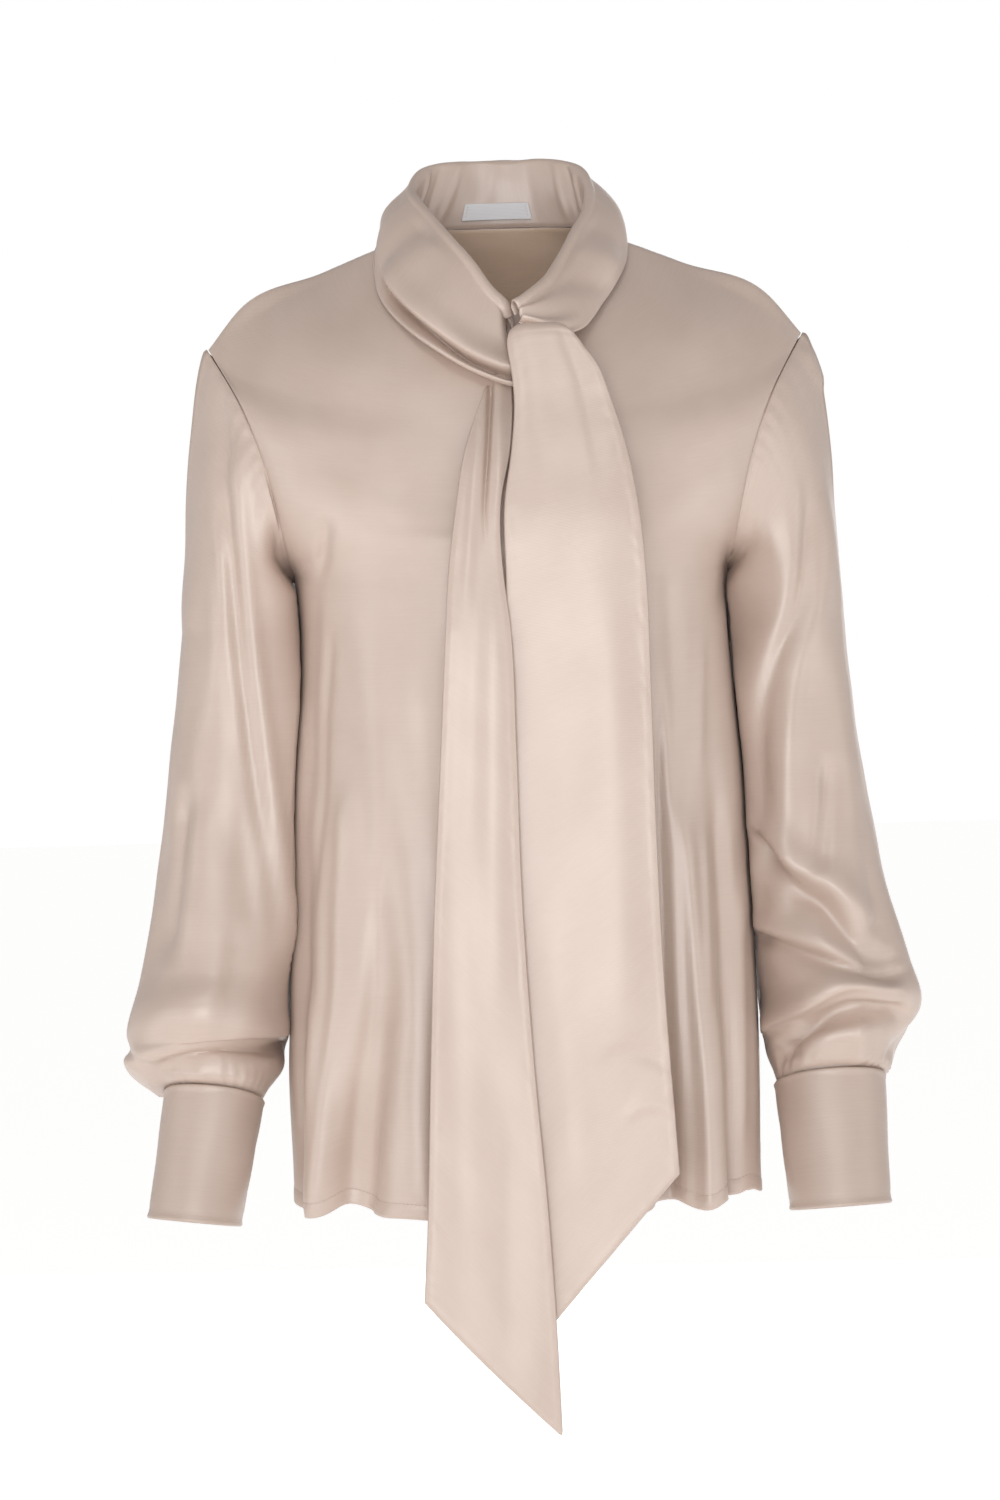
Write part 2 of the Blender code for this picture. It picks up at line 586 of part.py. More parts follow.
def neckline_point(around):
    """A point of the neckline, by the band's round value."""
    size = np.abs(around)
    if size <= 0.5:
        return panel_points("back", np.array([around / 0.5]), np.array([3.0]))[0]
    across = np.sign(around) * (1 - (size - 0.5) / 0.5)
    return panel_points("front", np.array([across]), np.array([3.0]))[0]


def fold_point(around):
    """The top of the band's roll at a station."""
    return np.array([column(BANDS, "round", name, around) for name in ("fold_x", "fold_y", "fold_z")])


def band_section(around):
    """The band's section at a station: up from the neckline, over the roll and down to the outer edge.

    The roll is a half circle in the plane square to the line along its top.
    """
    fold = fold_point(around)
    edge = np.array([column(BANDS, "round", name, around) for name in ("edge_x", "edge_y", "edge_z")])
    size = min(abs(around), 1.0)
    sewn = neckline_point(np.sign(around) * size) + np.array([0.0, 0.0, BAND_BASE_LIFT])
    loose = fold + np.array([0.0, BAND_BASE_BACK, -BAND_BASE_DROP])
    free = ease((abs(around) - BAND_SEWN_TO) / (1 - BAND_SEWN_TO))
    base = sewn + (loose - sewn) * free
    along = unit(fold_point(around + 0.03) - fold_point(around - 0.03))
    rise = fold - base
    rise = unit(rise - along * np.dot(rise, along))
    apart = np.cross(along, rise)
    apart = apart * np.sign(np.dot(apart, edge - base))
    centre = fold - rise * BAND_ROLL
    points = []
    for t in np.linspace(0, 1, STAND_POINTS + 1)[:-1]:
        points.append(base + (centre - apart * BAND_ROLL - base) * t)
    for turn in np.linspace(0, math.pi, ROLL_POINTS + 1):
        points.append(centre - apart * BAND_ROLL * math.cos(turn) + rise * BAND_ROLL * math.sin(turn))
    over = points.pop()
    for t in np.linspace(0, 1, FALL_POINTS + 1):
        bulge = BAND_BULGE * math.sin(math.pi * t) * (1 - 0.5 * free)
        points.append(over + (edge - over) * t + apart * bulge)
    return np.array(points)


def push_clear(points, tree, clear):
    """Moves each point that lies nearer than "clear" in front of a surface, or behind it, out along its normal."""
    moved = points.copy()
    for number, point in enumerate(points):
        place, normal, _, distance = tree.find_nearest(point.tolist())
        if place is None:
            continue
        signed = float(np.dot(point - np.array(place), np.array(normal)))
        if signed < clear and distance < 0.03:
            moved[number] = point + np.array(normal) * (clear - signed)
    return moved


def surface_tree(sheets):
    """A search tree over sheets, for moving what lies on them out of them."""
    points = []
    faces = []
    for sheet in sheets:
        shift = len(points)
        points += sheet.points.tolist()
        faces += (sheet.faces + shift).tolist()
    return BVHTree.FromPolygons(points, faces)


def band_sheet(tree):
    """The rolled band collar, lying on the shoulders and the chest."""
    right_end = np.linspace(BANDS[0].round, -0.5, BAND_FRONT_STATIONS + 1)
    nape = np.linspace(-0.5, 0.5, BAND_BACK_STATIONS + 1)
    left_end = np.linspace(0.5, BANDS[-1].round, BAND_FRONT_STATIONS + 1)
    stations = np.concatenate([right_end, nape[1:], left_end[1:]])
    sections = np.stack([band_section(station) for station in stations])
    first_fall = STAND_POINTS + ROLL_POINTS
    falls = sections[:, first_fall:]
    cleared = push_clear(falls.reshape(-1, 3), tree, BAND_CLOTH + BAND_LYING_GAP)
    sections[:, first_fall:] = cleared.reshape(falls.shape)
    columns = sections.shape[1] - 1
    middle_edge = (len(stations) // 2) * (columns + 1) + columns - 1
    return Sheet(sections, grid_faces(len(stations) - 1, columns), (middle_edge, (0, 1, 0)))


def tie_sheet(table, corners, tree, bow):
    """A hanging tie end with a slanting lower edge, bowed a little to the front."""
    across = np.linspace(0, 1, TIE_COLUMNS + 1)
    top = table[0].height
    rows = []
    for t in np.linspace(0, 1, TIE_ROWS + 1):
        heights = top + (corners[0] + (corners[1] - corners[0]) * across - top) * t
        keys = -heights
        sizes = [smooth([-row.height for row in table], [getattr(row, name) for row in table], keys)
                 for name in ("right", "left", "fore")]
        x = sizes[0] + (sizes[1] - sizes[0]) * across
        y = -sizes[2] - bow * ease(4 * t) * (1 - (2 * across - 1) ** 2)
        rows.append(np.stack([x, y, heights], axis=-1))
    grid = np.stack(rows)
    cleared = push_clear(grid.reshape(-1, 3), tree, TIE_CLOTH + LYING_GAP)
    return Sheet(cleared, grid_faces(TIE_ROWS, TIE_COLUMNS), (TIE_COLUMNS // 2, (0, -1, 0)))


def knot_points():
    """The knot: a flattened bundle with shallow pleats that run across it."""
    rows = []
    for latitude in np.linspace(-0.5 * np.pi, 0.5 * np.pi, KNOT_ROWS + 2)[1:-1]:
        angles = 2 * np.pi * np.arange(KNOT_COLUMNS) / KNOT_COLUMNS
        pleat = 1 + KNOT_PLEAT_DEPTH * np.cos(KNOT_PLEATS * angles) * math.cos(latitude)
        x = np.full(KNOT_COLUMNS, math.sin(latitude)) * KNOT_HALF_SIZES[0]
        y = math.cos(latitude) * np.cos(angles) * pleat * KNOT_HALF_SIZES[1]
        z = math.cos(latitude) * np.sin(angles) * pleat * KNOT_HALF_SIZES[2]
        rows.append(np.stack([x, y + KNOT_LEAN * z, z], axis=-1))
    return np.concatenate(rows) + np.array(KNOT_MIDDLE)


def knot_solid():
    """Points and faces of the knot, closed at its two ends."""
    points = knot_points()
    faces = grid_faces(KNOT_ROWS - 1, KNOT_COLUMNS, closed=True)
    first = list(range(KNOT_COLUMNS))
    last = [(KNOT_ROWS - 1) * KNOT_COLUMNS + number for number in range(KNOT_COLUMNS)]
    return points, faces + [tuple(reversed(first)), tuple(last)]


def label_sheet():
    """The bare woven label, made from the stand's points at the back of the neck, moved in."""
    rows = []
    for level in (LABEL_LOW, LABEL_HIGH):
        row = []
        for x in np.linspace(-LABEL_HALF_WIDTH, LABEL_HALF_WIDTH, LABEL_COLUMNS + 1):
            around = label_station(x)
            section = band_section(around)
            point = section[0] + (section[STAND_POINTS] - section[0]) * level
            row.append(point)
        rows.append(row)
    grid = np.array(rows)
    sheet = Sheet(grid, grid_faces(1, LABEL_COLUMNS), (LABEL_COLUMNS // 2, (0, -1, 0)))
    sheet.points = sheet.points + sheet.normals * (LABEL_CLOTH + LYING_GAP)
    return sheet


def label_station(x):
    """The band's round value where its seam stands at this x, at the back."""
    stations = np.linspace(-0.3, 0.3, 61)
    places = np.array([neckline_point(station)[0] for station in stations])
    return float(np.interp(x, places, stations))


def loop_tube():
    """Points and faces of the thread loop that hangs across the top of the slit."""
    count = 9
    sides = 6
    rows = []
    for t in np.linspace(-1, 1, count):
        middle = np.array([t * LOOP_HALF_SPAN, -LOOP_FORE, LOOP_HEIGHT - LOOP_SAG * (1 - t * t)])
        along = unit(np.array([1.0, 0.0, 2 * LOOP_SAG * t / LOOP_HALF_SPAN]))
        lift = np.array([-along[2], 0.0, along[0]])
        turns = 2 * np.pi * np.arange(sides) / sides
        ring = middle + LOOP_RADIUS * (np.cos(turns)[:, None] * lift + np.sin(turns)[:, None] * np.array([0, 1, 0]))
        rows.append(ring)
    points = np.concatenate(rows)
    faces = grid_faces(count - 1, sides, closed=True)
    return points, faces + [tuple(reversed(range(sides))), tuple((count - 1) * sides + n for n in range(sides))]


def srgb_to_linear(value):
    """One sRGB channel as linear light."""
    return value / 12.92 if value <= 0.04045 else ((value + 0.055) / 1.055) ** 2.4


def cloth_material(name, colour, roughness):
    """A cloth finish of one colour."""
    material = bpy.data.materials.new(name)
    material.use_nodes = True
    shader = material.node_tree.nodes["Principled BSDF"]
    shader.inputs["Base Color"].default_value = (*(srgb_to_linear(value) for value in colour), 1.0)
    shader.inputs["Roughness"].default_value = roughness
    shader.inputs["Metallic"].default_value = 0.0
    return material


def add_object(name, points, faces, material):
    """One named solid, shaded smooth, its faces turned outward."""
    mesh = bpy.data.meshes.new(name)
    mesh.from_pydata(points.tolist(), [], faces)
    if signed_volume(points, faces) < 0:
        mesh.flip_normals()
    mesh.shade_smooth()
    mesh.set_sharp_from_angle(angle=math.radians(50))
    mesh.materials.append(material)
    obj = bpy.data.objects.new(name, mesh)
    bpy.context.scene.collection.objects.link(obj)
    return obj


def signed_volume(points, faces):
    """The volume inside the faces, negative when they turn inward."""
    total = 0.0
    for face in faces:
        for number in range(1, len(face) - 1):
            a, b, c = points[face[0]], points[face[number]], points[face[number + 1]]
            total += float(np.dot(a, np.cross(b, c))) / 6
    return total


def edge_numbers(columns, rows, first):
    """Numbers of a grid's points along its first or last column."""
    return np.array([row * (columns + 1) + (0 if first else columns) for row in rows])


def join_side_and_shoulder_seams(front, back, start, end, last):
    """Shares normals along both side seams and both shoulder seams."""
    rows = list(range(0, start + 1)) + list(range(end, last + 1))
    for first in (True, False):
        share_normals(front, edge_numbers(FRONT_COLUMNS, rows, first), back, edge_numbers(BACK_COLUMNS, rows, first))


def join_sleeve(front, back, sleeve, start, end, first):
    """Shares normals round one armhole."""
    rows = list(range(start + 1, end))
    count = ARMHOLE_ROWS
    front_points = edge_numbers(FRONT_COLUMNS, rows, first)
    back_points = edge_numbers(BACK_COLUMNS, rows, first)
    share_normals(front, front_points, sleeve, np.arange(1, count), valley=True)
    share_normals(back, back_points, sleeve, np.arange(2 * count - 1, count, -1), valley=True)
    for row, ring_point in ((start, 0), (end, count)):
        front_point = edge_numbers(FRONT_COLUMNS, [row], first)
        back_point = edge_numbers(BACK_COLUMNS, [row], first)
        share_normals(front, front_point, back, back_point)
        share_normals(front, front_point, sleeve, np.array([ring_point]), valley=True)
        back.normals[back_point] = front.normals[front_point]


def main():
    """Clears the scene and builds every piece."""
    for obj in list(bpy.data.objects):
        bpy.data.objects.remove(obj, do_unlink=True)
    satin = cloth_material("satin", SATIN, 0.45)
    shade = cloth_material("satin_cuff", SATIN_SHADE, 0.45)
    white = cloth_material("label_weave", LABEL_WHITE, 0.8)
    thread = cloth_material("thread", THREAD, 0.7)

    ups, start, end = row_levels()
    front = front_sheet()
    back = back_sheet()
    join_side_and_shoulder_seams(front, back, start, end, len(ups) - 1)
    body_tree = surface_tree([front, back])
    sides = (
        ("right", -1.0, RIGHT_SLEEVE, RIGHT_SLEEVE_FOLDS, RIGHT_CUFF, RIGHT_HEAD_PUFF, True),
        ("left", 1.0, LEFT_SLEEVE, LEFT_SLEEVE_FOLDS, LEFT_CUFF, LEFT_HEAD_PUFF, False),
    )
    for name, sign, rings, folds, cuff, puff, first in sides:
        sleeve = sleeve_sheet(sign, rings, folds, cuff, puff, body_tree)
        join_sleeve(front, back, sleeve, start, end, first)
        cuff_wall = cuff_sheet(sign, cuff)
        ring = 2 * ARMHOLE_ROWS
        last_ring = np.arange(len(sleeve.points) - ring, len(sleeve.points))
        share_normals(sleeve, last_ring, cuff_wall, np.arange(ring))
        add_object("sleeve_" + name, *sleeve.wall(BODY_CLOTH), satin)
        add_object("cuff_" + name, *cuff_wall.wall(CUFF_CLOTH), shade)
    add_object("front", *front.wall(BODY_CLOTH), satin)
    add_object("back", *back.wall(BODY_CLOTH), satin)

    add_object("neck_band", *band_sheet(body_tree).wall(BAND_CLOTH), satin)
    add_object("tie_over", *tie_sheet(OVER_TIE, OVER_TIE_CORNERS, body_tree, TIE_BOW).wall(TIE_CLOTH), satin)
    add_object("tie_under", *tie_sheet(UNDER_TIE, UNDER_TIE_CORNERS, body_tree, TIE_BOW).wall(TIE_CLOTH), satin)
    add_object("tie_knot", *knot_solid(), satin)
    add_object("label", *label_sheet().wall(LABEL_CLOTH), white)
    add_object("neck_loop", *loop_tube(), thread)


main()
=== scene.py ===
"""Tie neck blouse in pale satin, hollow and standing in its worn form.

Every cloth piece is a thin shell over a grid of points: a form worked out from named sizes, with soft ridges
and troughs laid on it along its normals. Metres, +Z up, +X to the wearer's left, -Y to the front. Creases are
written in millimetres.
"""

import json
import logging
import math
from dataclasses import dataclass
from enum import Enum
from typing import NamedTuple

import bpy
import numpy as np
from mathutils import Matrix, Vector

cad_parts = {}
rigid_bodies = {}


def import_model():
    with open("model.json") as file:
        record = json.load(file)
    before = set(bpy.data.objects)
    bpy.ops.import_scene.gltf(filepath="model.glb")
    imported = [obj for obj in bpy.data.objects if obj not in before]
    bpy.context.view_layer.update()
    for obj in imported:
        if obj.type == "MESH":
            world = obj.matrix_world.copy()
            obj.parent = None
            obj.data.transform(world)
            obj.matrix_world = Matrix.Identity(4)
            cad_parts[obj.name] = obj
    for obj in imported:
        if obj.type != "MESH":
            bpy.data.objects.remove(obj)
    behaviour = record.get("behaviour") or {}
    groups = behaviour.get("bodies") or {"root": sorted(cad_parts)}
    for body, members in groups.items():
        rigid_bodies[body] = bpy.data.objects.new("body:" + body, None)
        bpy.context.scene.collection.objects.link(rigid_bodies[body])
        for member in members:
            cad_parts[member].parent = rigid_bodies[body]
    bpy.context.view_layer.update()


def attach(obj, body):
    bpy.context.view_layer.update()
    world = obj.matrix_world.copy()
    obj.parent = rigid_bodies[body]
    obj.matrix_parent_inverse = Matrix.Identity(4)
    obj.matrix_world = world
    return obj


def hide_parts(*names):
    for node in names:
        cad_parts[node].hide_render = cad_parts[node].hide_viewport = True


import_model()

LOG = logging.getLogger("tie_neck_blouse")
Array = np.ndarray
ROOT = "root"
MM = 0.001


class Panel(Enum):
    """Which body panel, with the sign of its outward Y."""

    FRONT = -1.0
    BACK = 1.0


class Side(Enum):
    """The wearer's side, with the sign of its X."""

    RIGHT = -1.0
    LEFT = 1.0


class Run(Enum):
    """The way a crease runs in the view from the front or back."""

    DOWN = "down"
    ACROSS = "across"


class Facing(Enum):
    """The side of a piece that a crease lies on, with the sign of that side's Y."""

    FRONT = -1.0
    BACK = 1.0
    ALL = 0.0


class Middle(NamedTuple):
    """A level of the body: how far its middles reach, their heights, and how far the panel's arc turns."""

    up: float
    front: float
    front_height: float
    back: float
    back_height: float
    turn: float


class Edge(NamedTuple):
    """A level of a panel's side edge."""

    up: float
    out: float
    fore: float
    back: float
    height: float


class BodyFold(NamedTuple):
    """A soft fold that deepens towards the hem; places run from -1 to 1 across a panel."""

    hem_place: float
    top_place: float
    depth: float
    width: float
    top: float


class SleeveRing(NamedTuple):
    """A level of a sleeve: its inner and outer sides and how far it reaches forward and back."""

    height: float
    inner: float
    outer: float
    front: float
    back: float
    rise: float


class SleeveFold(NamedTuple):
    """A long fold of a sleeve, by its angle: 0 outer side, 90 front, 180 inner side, 270 back."""

    top: float
    bottom: float
    top_angle: float
    bottom_angle: float
    depth: float
    width: float


class CuffSize(NamedTuple):
    """The middles and half sizes of a cuff's upper and lower ends."""

    top_out: float
    top_fore: float
    top_height: float
    low_out: float
    low_fore: float
    low_height: float
    top_half: float
    low_half: float
    depth_half: float


class BandStation(NamedTuple):
    """A station of the band: the top of its roll and its outer edge."""

    round: float
    fold_x: float
    fold_y: float
    fold_z: float
    edge_x: float
    edge_y: float
    edge_z: float


class TieRow(NamedTuple):
    """A level of a tie end: its two side edges and how far in front it hangs."""

    height: float
    right: float
    left: float
    fore: float


def smooth(knots: Array, values: Array, at: Array) -> Array:
    """Reads a cubic curve whose slope at each knot is the weighted mean of the slopes beside it.

    Args:
        knots: rising places of the values.
        values: the curve's values there.
        at: places to read.

    Returns:
        The curve's values at those places.
    """
    knots = np.asarray(knots, float)
    values = np.asarray(values, float)
    at = np.clip(np.asarray(at, float), knots[0], knots[-1])
    steps = np.diff(knots)
    slopes = np.diff(values) / steps
    inner = (slopes[:-1] * steps[1:] + slopes[1:] * steps[:-1]) / (steps[1:] + steps[:-1])
    tangents = np.concatenate([slopes[:1], inner, slopes[-1:]])
    span = np.clip(np.searchsorted(knots, at, side="right") - 1, 0, len(steps) - 1)
    width = steps[span]
    t = (at - knots[span]) / width
    start = values[span] * (1 + 2 * t) * (1 - t) ** 2 + tangents[span] * width * t * (1 - t) ** 2
    end = values[span + 1] * t * t * (3 - 2 * t) + tangents[span + 1] * width * t * t * (t - 1)
    return start + end


def column(table: tuple, key: str, name: str, at: Array) -> Array:
    """Reads one named column of a table as a smooth curve over its key column."""
    return smooth([getattr(row, key) for row in table], [getattr(row, name) for row in table], at)


def ease(value: Array) -> Array:
    """0 below 0, 1 above 1, with a level start and end between them."""
    value = np.clip(value, 0.0, 1.0)
    return value * value * (3 - 2 * value)


def unit(vectors: Array) -> Array:
    """The vectors, each made one long."""
    return vectors / np.maximum(np.linalg.norm(vectors, axis=-1, keepdims=True), 1e-12)


def unevenness(across: Array, along: Array, size: float, seed: int) -> Array:
    """A smooth seeded drift between about -1 and 1: a sum of sine waves of like length in many directions.

    Args:
        across: place across the cloth, in metres.
        along: place along the cloth, in metres.
        size: mean wavelength, in metres.
        seed: number that fixes the waves.

    Returns:
        The drift at each place.
    """
    source = np.random.default_rng(seed)
    total = np.zeros(np.broadcast(across, along).shape)
    for _ in range(7):
        turn = source.uniform(0, math.pi)
        wave = 2 * math.pi / (size * source.uniform(0.7, 1.6))
        total += np.sin(wave * (math.cos(turn) * across + math.sin(turn) * along) + source.uniform(0, 6.28))
    return total / 3.5


def lengths(points: Array, axis: int) -> Array:
    """Length run along one axis of a grid, from its first row or column.

    Args:
        points: grid of points, (rows, columns, 3).
        axis: 0 down the rows, 1 along the columns.

    Returns:
        The running length at each point.
    """
    steps = np.linalg.norm(np.diff(points, axis=axis), axis=-1)
    start = np.zeros_like(np.take(steps, [0], axis=axis))
    return np.cumsum(np.concatenate([start, steps], axis=axis), axis=axis)


def pushed_clear(points: Array, surface: Array, normals: Array, clear: float, reach: float = 0.03) -> Array:
    """Moves points that lie nearer than "clear" in front of a surface, or just behind it, out of it.

    They move along the surface's normal. The height of a point is measured from the plane of the surface's
    nearest point.

    Args:
        points: points to move, in a grid of any shape.
        surface: the surface's points, (count, 3).
        normals: their outward normals.
        clear: least height over the surface.
        reach: distance past which a point is left alone.

    Returns:
        The moved points, in the grid's shape.
    """
    flat = points.reshape(-1, 3).copy()
    squares = (surface**2).sum(axis=1)
    for start in range(0, len(flat), 3000):
        block = flat[start:start + 3000]
        nearest = np.argmin(squares[None, :] - 2 * block @ surface.T, axis=1)
        away = block - surface[nearest]
        height = (away * normals[nearest]).sum(axis=1)
        near = (np.linalg.norm(away, axis=1) < reach) & (height < clear)
        block[near] += normals[nearest][near] * (clear - height[near])[:, None]
    return flat.reshape(points.shape)


@dataclass(frozen=True)
class Crease:
    """A soft ridge or trough in the view from the front or back.

    Its height is the depth times a bell over the distance from its path, times eases over its two ends. A
    ridge with a droop also sags by that much, so that it hangs over what lies below it.
    The path is in millimetres, from its top if it runs down, from its lower x if it runs across.
    """

    run: Run
    path: tuple
    depth: float
    low_width: float
    high_width: float
    fades: tuple = (40.0, 40.0)
    facing: Facing = Facing.ALL
    droop: float = 0.0

    def bell(self, points: Array, normals: Array) -> Array:
        """The crease's share at each point.

        Args:
            points: the piece's points.
            normals: their outward normals.

        Returns:
            1 on the path, falling to 0 beside it and past its ends.
        """
        x = points[..., 0] / MM
        z = points[..., 2] / MM
        key, value = (-z, x) if self.run is Run.DOWN else (x, z)
        path = np.asarray(self.path, float)
        knots, places = (-path[:, 1], path[:, 0]) if self.run is Run.DOWN else (path[:, 0], path[:, 1])
        slope = (smooth(knots, places, key + 1) - smooth(knots, places, key - 1)) / 2
        apart = (value - smooth(knots, places, key)) / np.sqrt(1 + slope**2)
        width = np.where(apart < 0, self.low_width, self.high_width)
        ends = ease((key - knots[0]) / self.fades[0] + 0.5) * ease((knots[-1] - key) / self.fades[1] + 0.5)
        share = np.exp(-((apart / width) ** 2)) * ends
        if self.facing is not Facing.ALL:
            share = share * ease(normals[..., 1] * self.facing.value / 0.5 + 0.3)
        return share


def creased(points: Array, normals: Array, creases: tuple, hold: Array) -> Array:
    """Lays creases on points.

    Each point moves along its normal by all the creases' depths times their shares, and down by their droop.

    Args:
        points: the piece's points.
        normals: their outward normals.
        creases: the creases.
        hold: share of the move that each point makes, from 0 to 1.

    Returns:
        The moved points.
    """
    moved = points.copy()
    for crease in creases:
        share = crease.bell(points, normals) * hold
        moved += normals * (crease.depth * MM * share)[..., None]
        moved[..., 2] -= crease.droop * MM * share
    return moved


@dataclass
class Shell:
    """A thin wall of cloth over a grid of points.

    The outer face is the grid; the inner face is the grid moved in by the thickness; each free edge is closed
    by two strips that meet on a line pushed out by half the thickness, so that it is round.
    """

    name: str
    points: Array
    thickness: float
    outward: tuple
    closed: bool = False
    ids: Array | None = None
    skipped: Array | None = None

    def __post_init__(self) -> None:
        """Works out the faces and turns them outward."""
        rows, columns = self.points.shape[:2]
        if self.ids is None:
            self.ids = np.arange(rows * columns).reshape(rows, columns)
        ids = np.concatenate([self.ids, self.ids[:, :1]], axis=1) if self.closed else self.ids
        quads = np.stack([ids[:-1, :-1], ids[:-1, 1:], ids[1:, 1:], ids[1:, :-1]], axis=-1)
        if self.skipped is not None:
            quads = quads[:, ~self.skipped]
        self.quads = quads.reshape(-1, 4)
        row, col, way = self.outward
        if self.normals()[row, col] @ np.asarray(way, float) < 0:
            self.quads = self.quads[:, ::-1]

    def normals(self) -> Array:
        """Works out the normals: each point's is the mean of its faces' normals.

        Returns:
            Unit vectors, in the grid's shape.
        """
        flat = self.points.reshape(-1, 3)
        corners = flat[self.quads]
        crossed = np.cross(corners[:, 2] - corners[:, 0], corners[:, 3] - corners[:, 1])
        total = np.zeros_like(flat)
        for corner in range(4):
            np.add.at(total, self.quads[:, corner], crossed)
        return unit(total)[self.ids.ravel()].reshape(self.points.shape)

    def free_edges(self) -> Array:
        """Finds the edges with a face on one side only.

        Returns:
            Each edge's two points, in its face's direction, (count, 2).
        """
        starts = self.quads.ravel()
        ends = np.roll(self.quads, -1, axis=1).ravel()
        count = self.points.shape[0] * self.points.shape[1]
        alone = ~np.isin(starts * count + ends, ends * count + starts)
        return np.stack([starts[alone], ends[alone]], axis=1)

    def build(self, finishes: tuple) -> bpy.types.Object:
        """Makes the object.

        Args:
            finishes: material of the outer face and edges, and material of the inner face.

        Returns:
            The finished object, at the origin.
        """
        outer = self.points.reshape(-1, 3)
        normals = self.normals().reshape(-1, 3)
        inner = outer - normals * self.thickness
        edges = self.free_edges()
        ahead = outer[edges[:, 1]] - outer[edges[:, 0]]
        way = unit(np.cross(ahead, normals[edges[:, 0]] + normals[edges[:, 1]]))
        out = np.zeros_like(outer)
        np.add.at(out, edges[:, 0], way)
        np.add.at(out, edges[:, 1], way)
        rim = (outer + inner) / 2 + unit(out) * self.thickness / 2
        count = len(outer)
        a, b = edges[:, 0], edges[:, 1]
        strips = np.concatenate([np.stack([b, a, a + 2 * count, b + 2 * count], axis=1),
                                 np.stack([b + 2 * count, a + 2 * count, a + count, b + count], axis=1)])
        quads = np.concatenate([self.quads, self.quads[:, ::-1] + count, strips])
        points = np.concatenate([outer, inner, rim])
        flat = self.flat_places().reshape(-1, 2)
        slots = np.zeros(len(quads), int)
        slots[len(self.quads):2 * len(self.quads)] = 1
        return mesh_object(self.name, points, quads, finishes, np.concatenate([flat, flat, flat]), slots)

    def flat_places(self) -> Array:
        """Lays the cloth flat: length along the columns and down the rows, from the middle column.

        Returns:
            Places in metres, (rows, columns, 2).
        """
        across = lengths(self.points, 1)
        across = across - across[:, across.shape[1] // 2][:, None]
        down = lengths(self.points, 0)
        down = np.broadcast_to(down.mean(axis=1)[:, None], across.shape)
        return np.stack([across, down], axis=-1)


def mesh_object(name: str, points: Array, quads: Array, finishes: tuple, flat: Array | None = None,
                slots: Array | None = None) -> bpy.types.Object:
    """Puts arrays into a mesh object, leaving out points that no face uses.

    Args:
        name: the object's name.
        points: (count, 3).
        quads: faces of three or four corners.
        finishes: its materials.
        flat: places on the flat cloth, one for each point, kept as the UV map "cloth".
        slots: material number of each face.

    Returns:
        The new object, shaded smooth.
    """
    used, places = np.unique(quads, return_inverse=True)
    quads = places.reshape(quads.shape)
    mesh = bpy.data.meshes.new(name)
    mesh.from_pydata(points[used].tolist(), [], quads.tolist())
    if flat is not None:
        layer = mesh.uv_layers.new(name="cloth")
        layer.data.foreach_set("uv", flat[used][quads.ravel()].astype(np.float32).ravel())
    for material in finishes:
        mesh.materials.append(material)
    if slots is not None:
        mesh.polygons.foreach_set("material_index", slots.astype(np.int32))
    return linked(name, mesh)


def linked(name: str, mesh: bpy.types.Mesh) -> bpy.types.Object:
    """Shades a mesh smooth and puts it into the scene.

    Args:
        name: the object's name.
        mesh: its mesh.

    Returns:
        The object, at the origin.
    """
    mesh.shade_smooth()
    obj = bpy.data.objects.new(name, mesh)
    bpy.context.scene.collection.objects.link(obj)
    return obj


def tube_quads(rows: int, count: int) -> Array:
    """Numbers the faces of a tube whose rings follow one another.

    Args:
        rows: number of rings.
        count: points in a ring.

    Returns:
        The faces, four points each.
    """
    ring = np.arange(count)
    beside = (ring + 1) % count
    first = np.stack([ring, beside, beside + count, ring + count], axis=1)
    return (first[None] + count * np.arange(rows - 1)[:, None, None]).reshape(-1, 4)


def band_scale(spacing: float) -> float:
    """Scale of a wave texture whose bands are this many metres apart: it turns 20 radians over a unit."""
    return 2 * math.pi / 20 / spacing


def placed(obj: bpy.types.Object, slot: str, *nodes: str) -> bpy.types.Object:
    """Rides a piece on the body, hides the nodes that it stands for and logs it.

    Args:
        obj: the piece.
        slot: its material slot's name; not used.
        nodes: the nodes that it stands for.

    Returns:
        The same piece.
    """
    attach(obj, ROOT)
    if nodes:
        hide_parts(*nodes)
    LOG.info("%s: %d faces", obj.name, len(obj.data.polygons))
    return obj


def linear(colour: str) -> tuple:
    """An sRGB hex colour as linear light with alpha 1."""
    parts = [int(colour[place:place + 2], 16) / 255 for place in (1, 3, 5)]
    return (*(p / 12.92 if p <= 0.04045 else ((p + 0.055) / 1.055) ** 2.4 for p in parts), 1.0)


def add_node(tree: bpy.types.NodeTree, kind: str, settings: dict | None = None,
             **links: object) -> bpy.types.Node:
    """Adds a node with its settings and links.

    Args:
        tree: the node tree.
        kind: the node's type name.
        settings: attributes of the node, or values of its sockets by name.
        links: for each socket name, with spaces as underscores, the output socket or the value that it gets.

    Returns:
        The node.
    """
    node = tree.nodes.new(kind)
    for name, value in (settings or {}).items():
        if hasattr(node, name):
            setattr(node, name, value)
        else:
            node.inputs[name].default_value = value
    for name, source in links.items():
        socket = node.inputs[name.replace("_", " ")]
        if isinstance(source, bpy.types.NodeSocket):
            tree.links.new(source, socket)
        else:
            socket.default_value = source
    return node


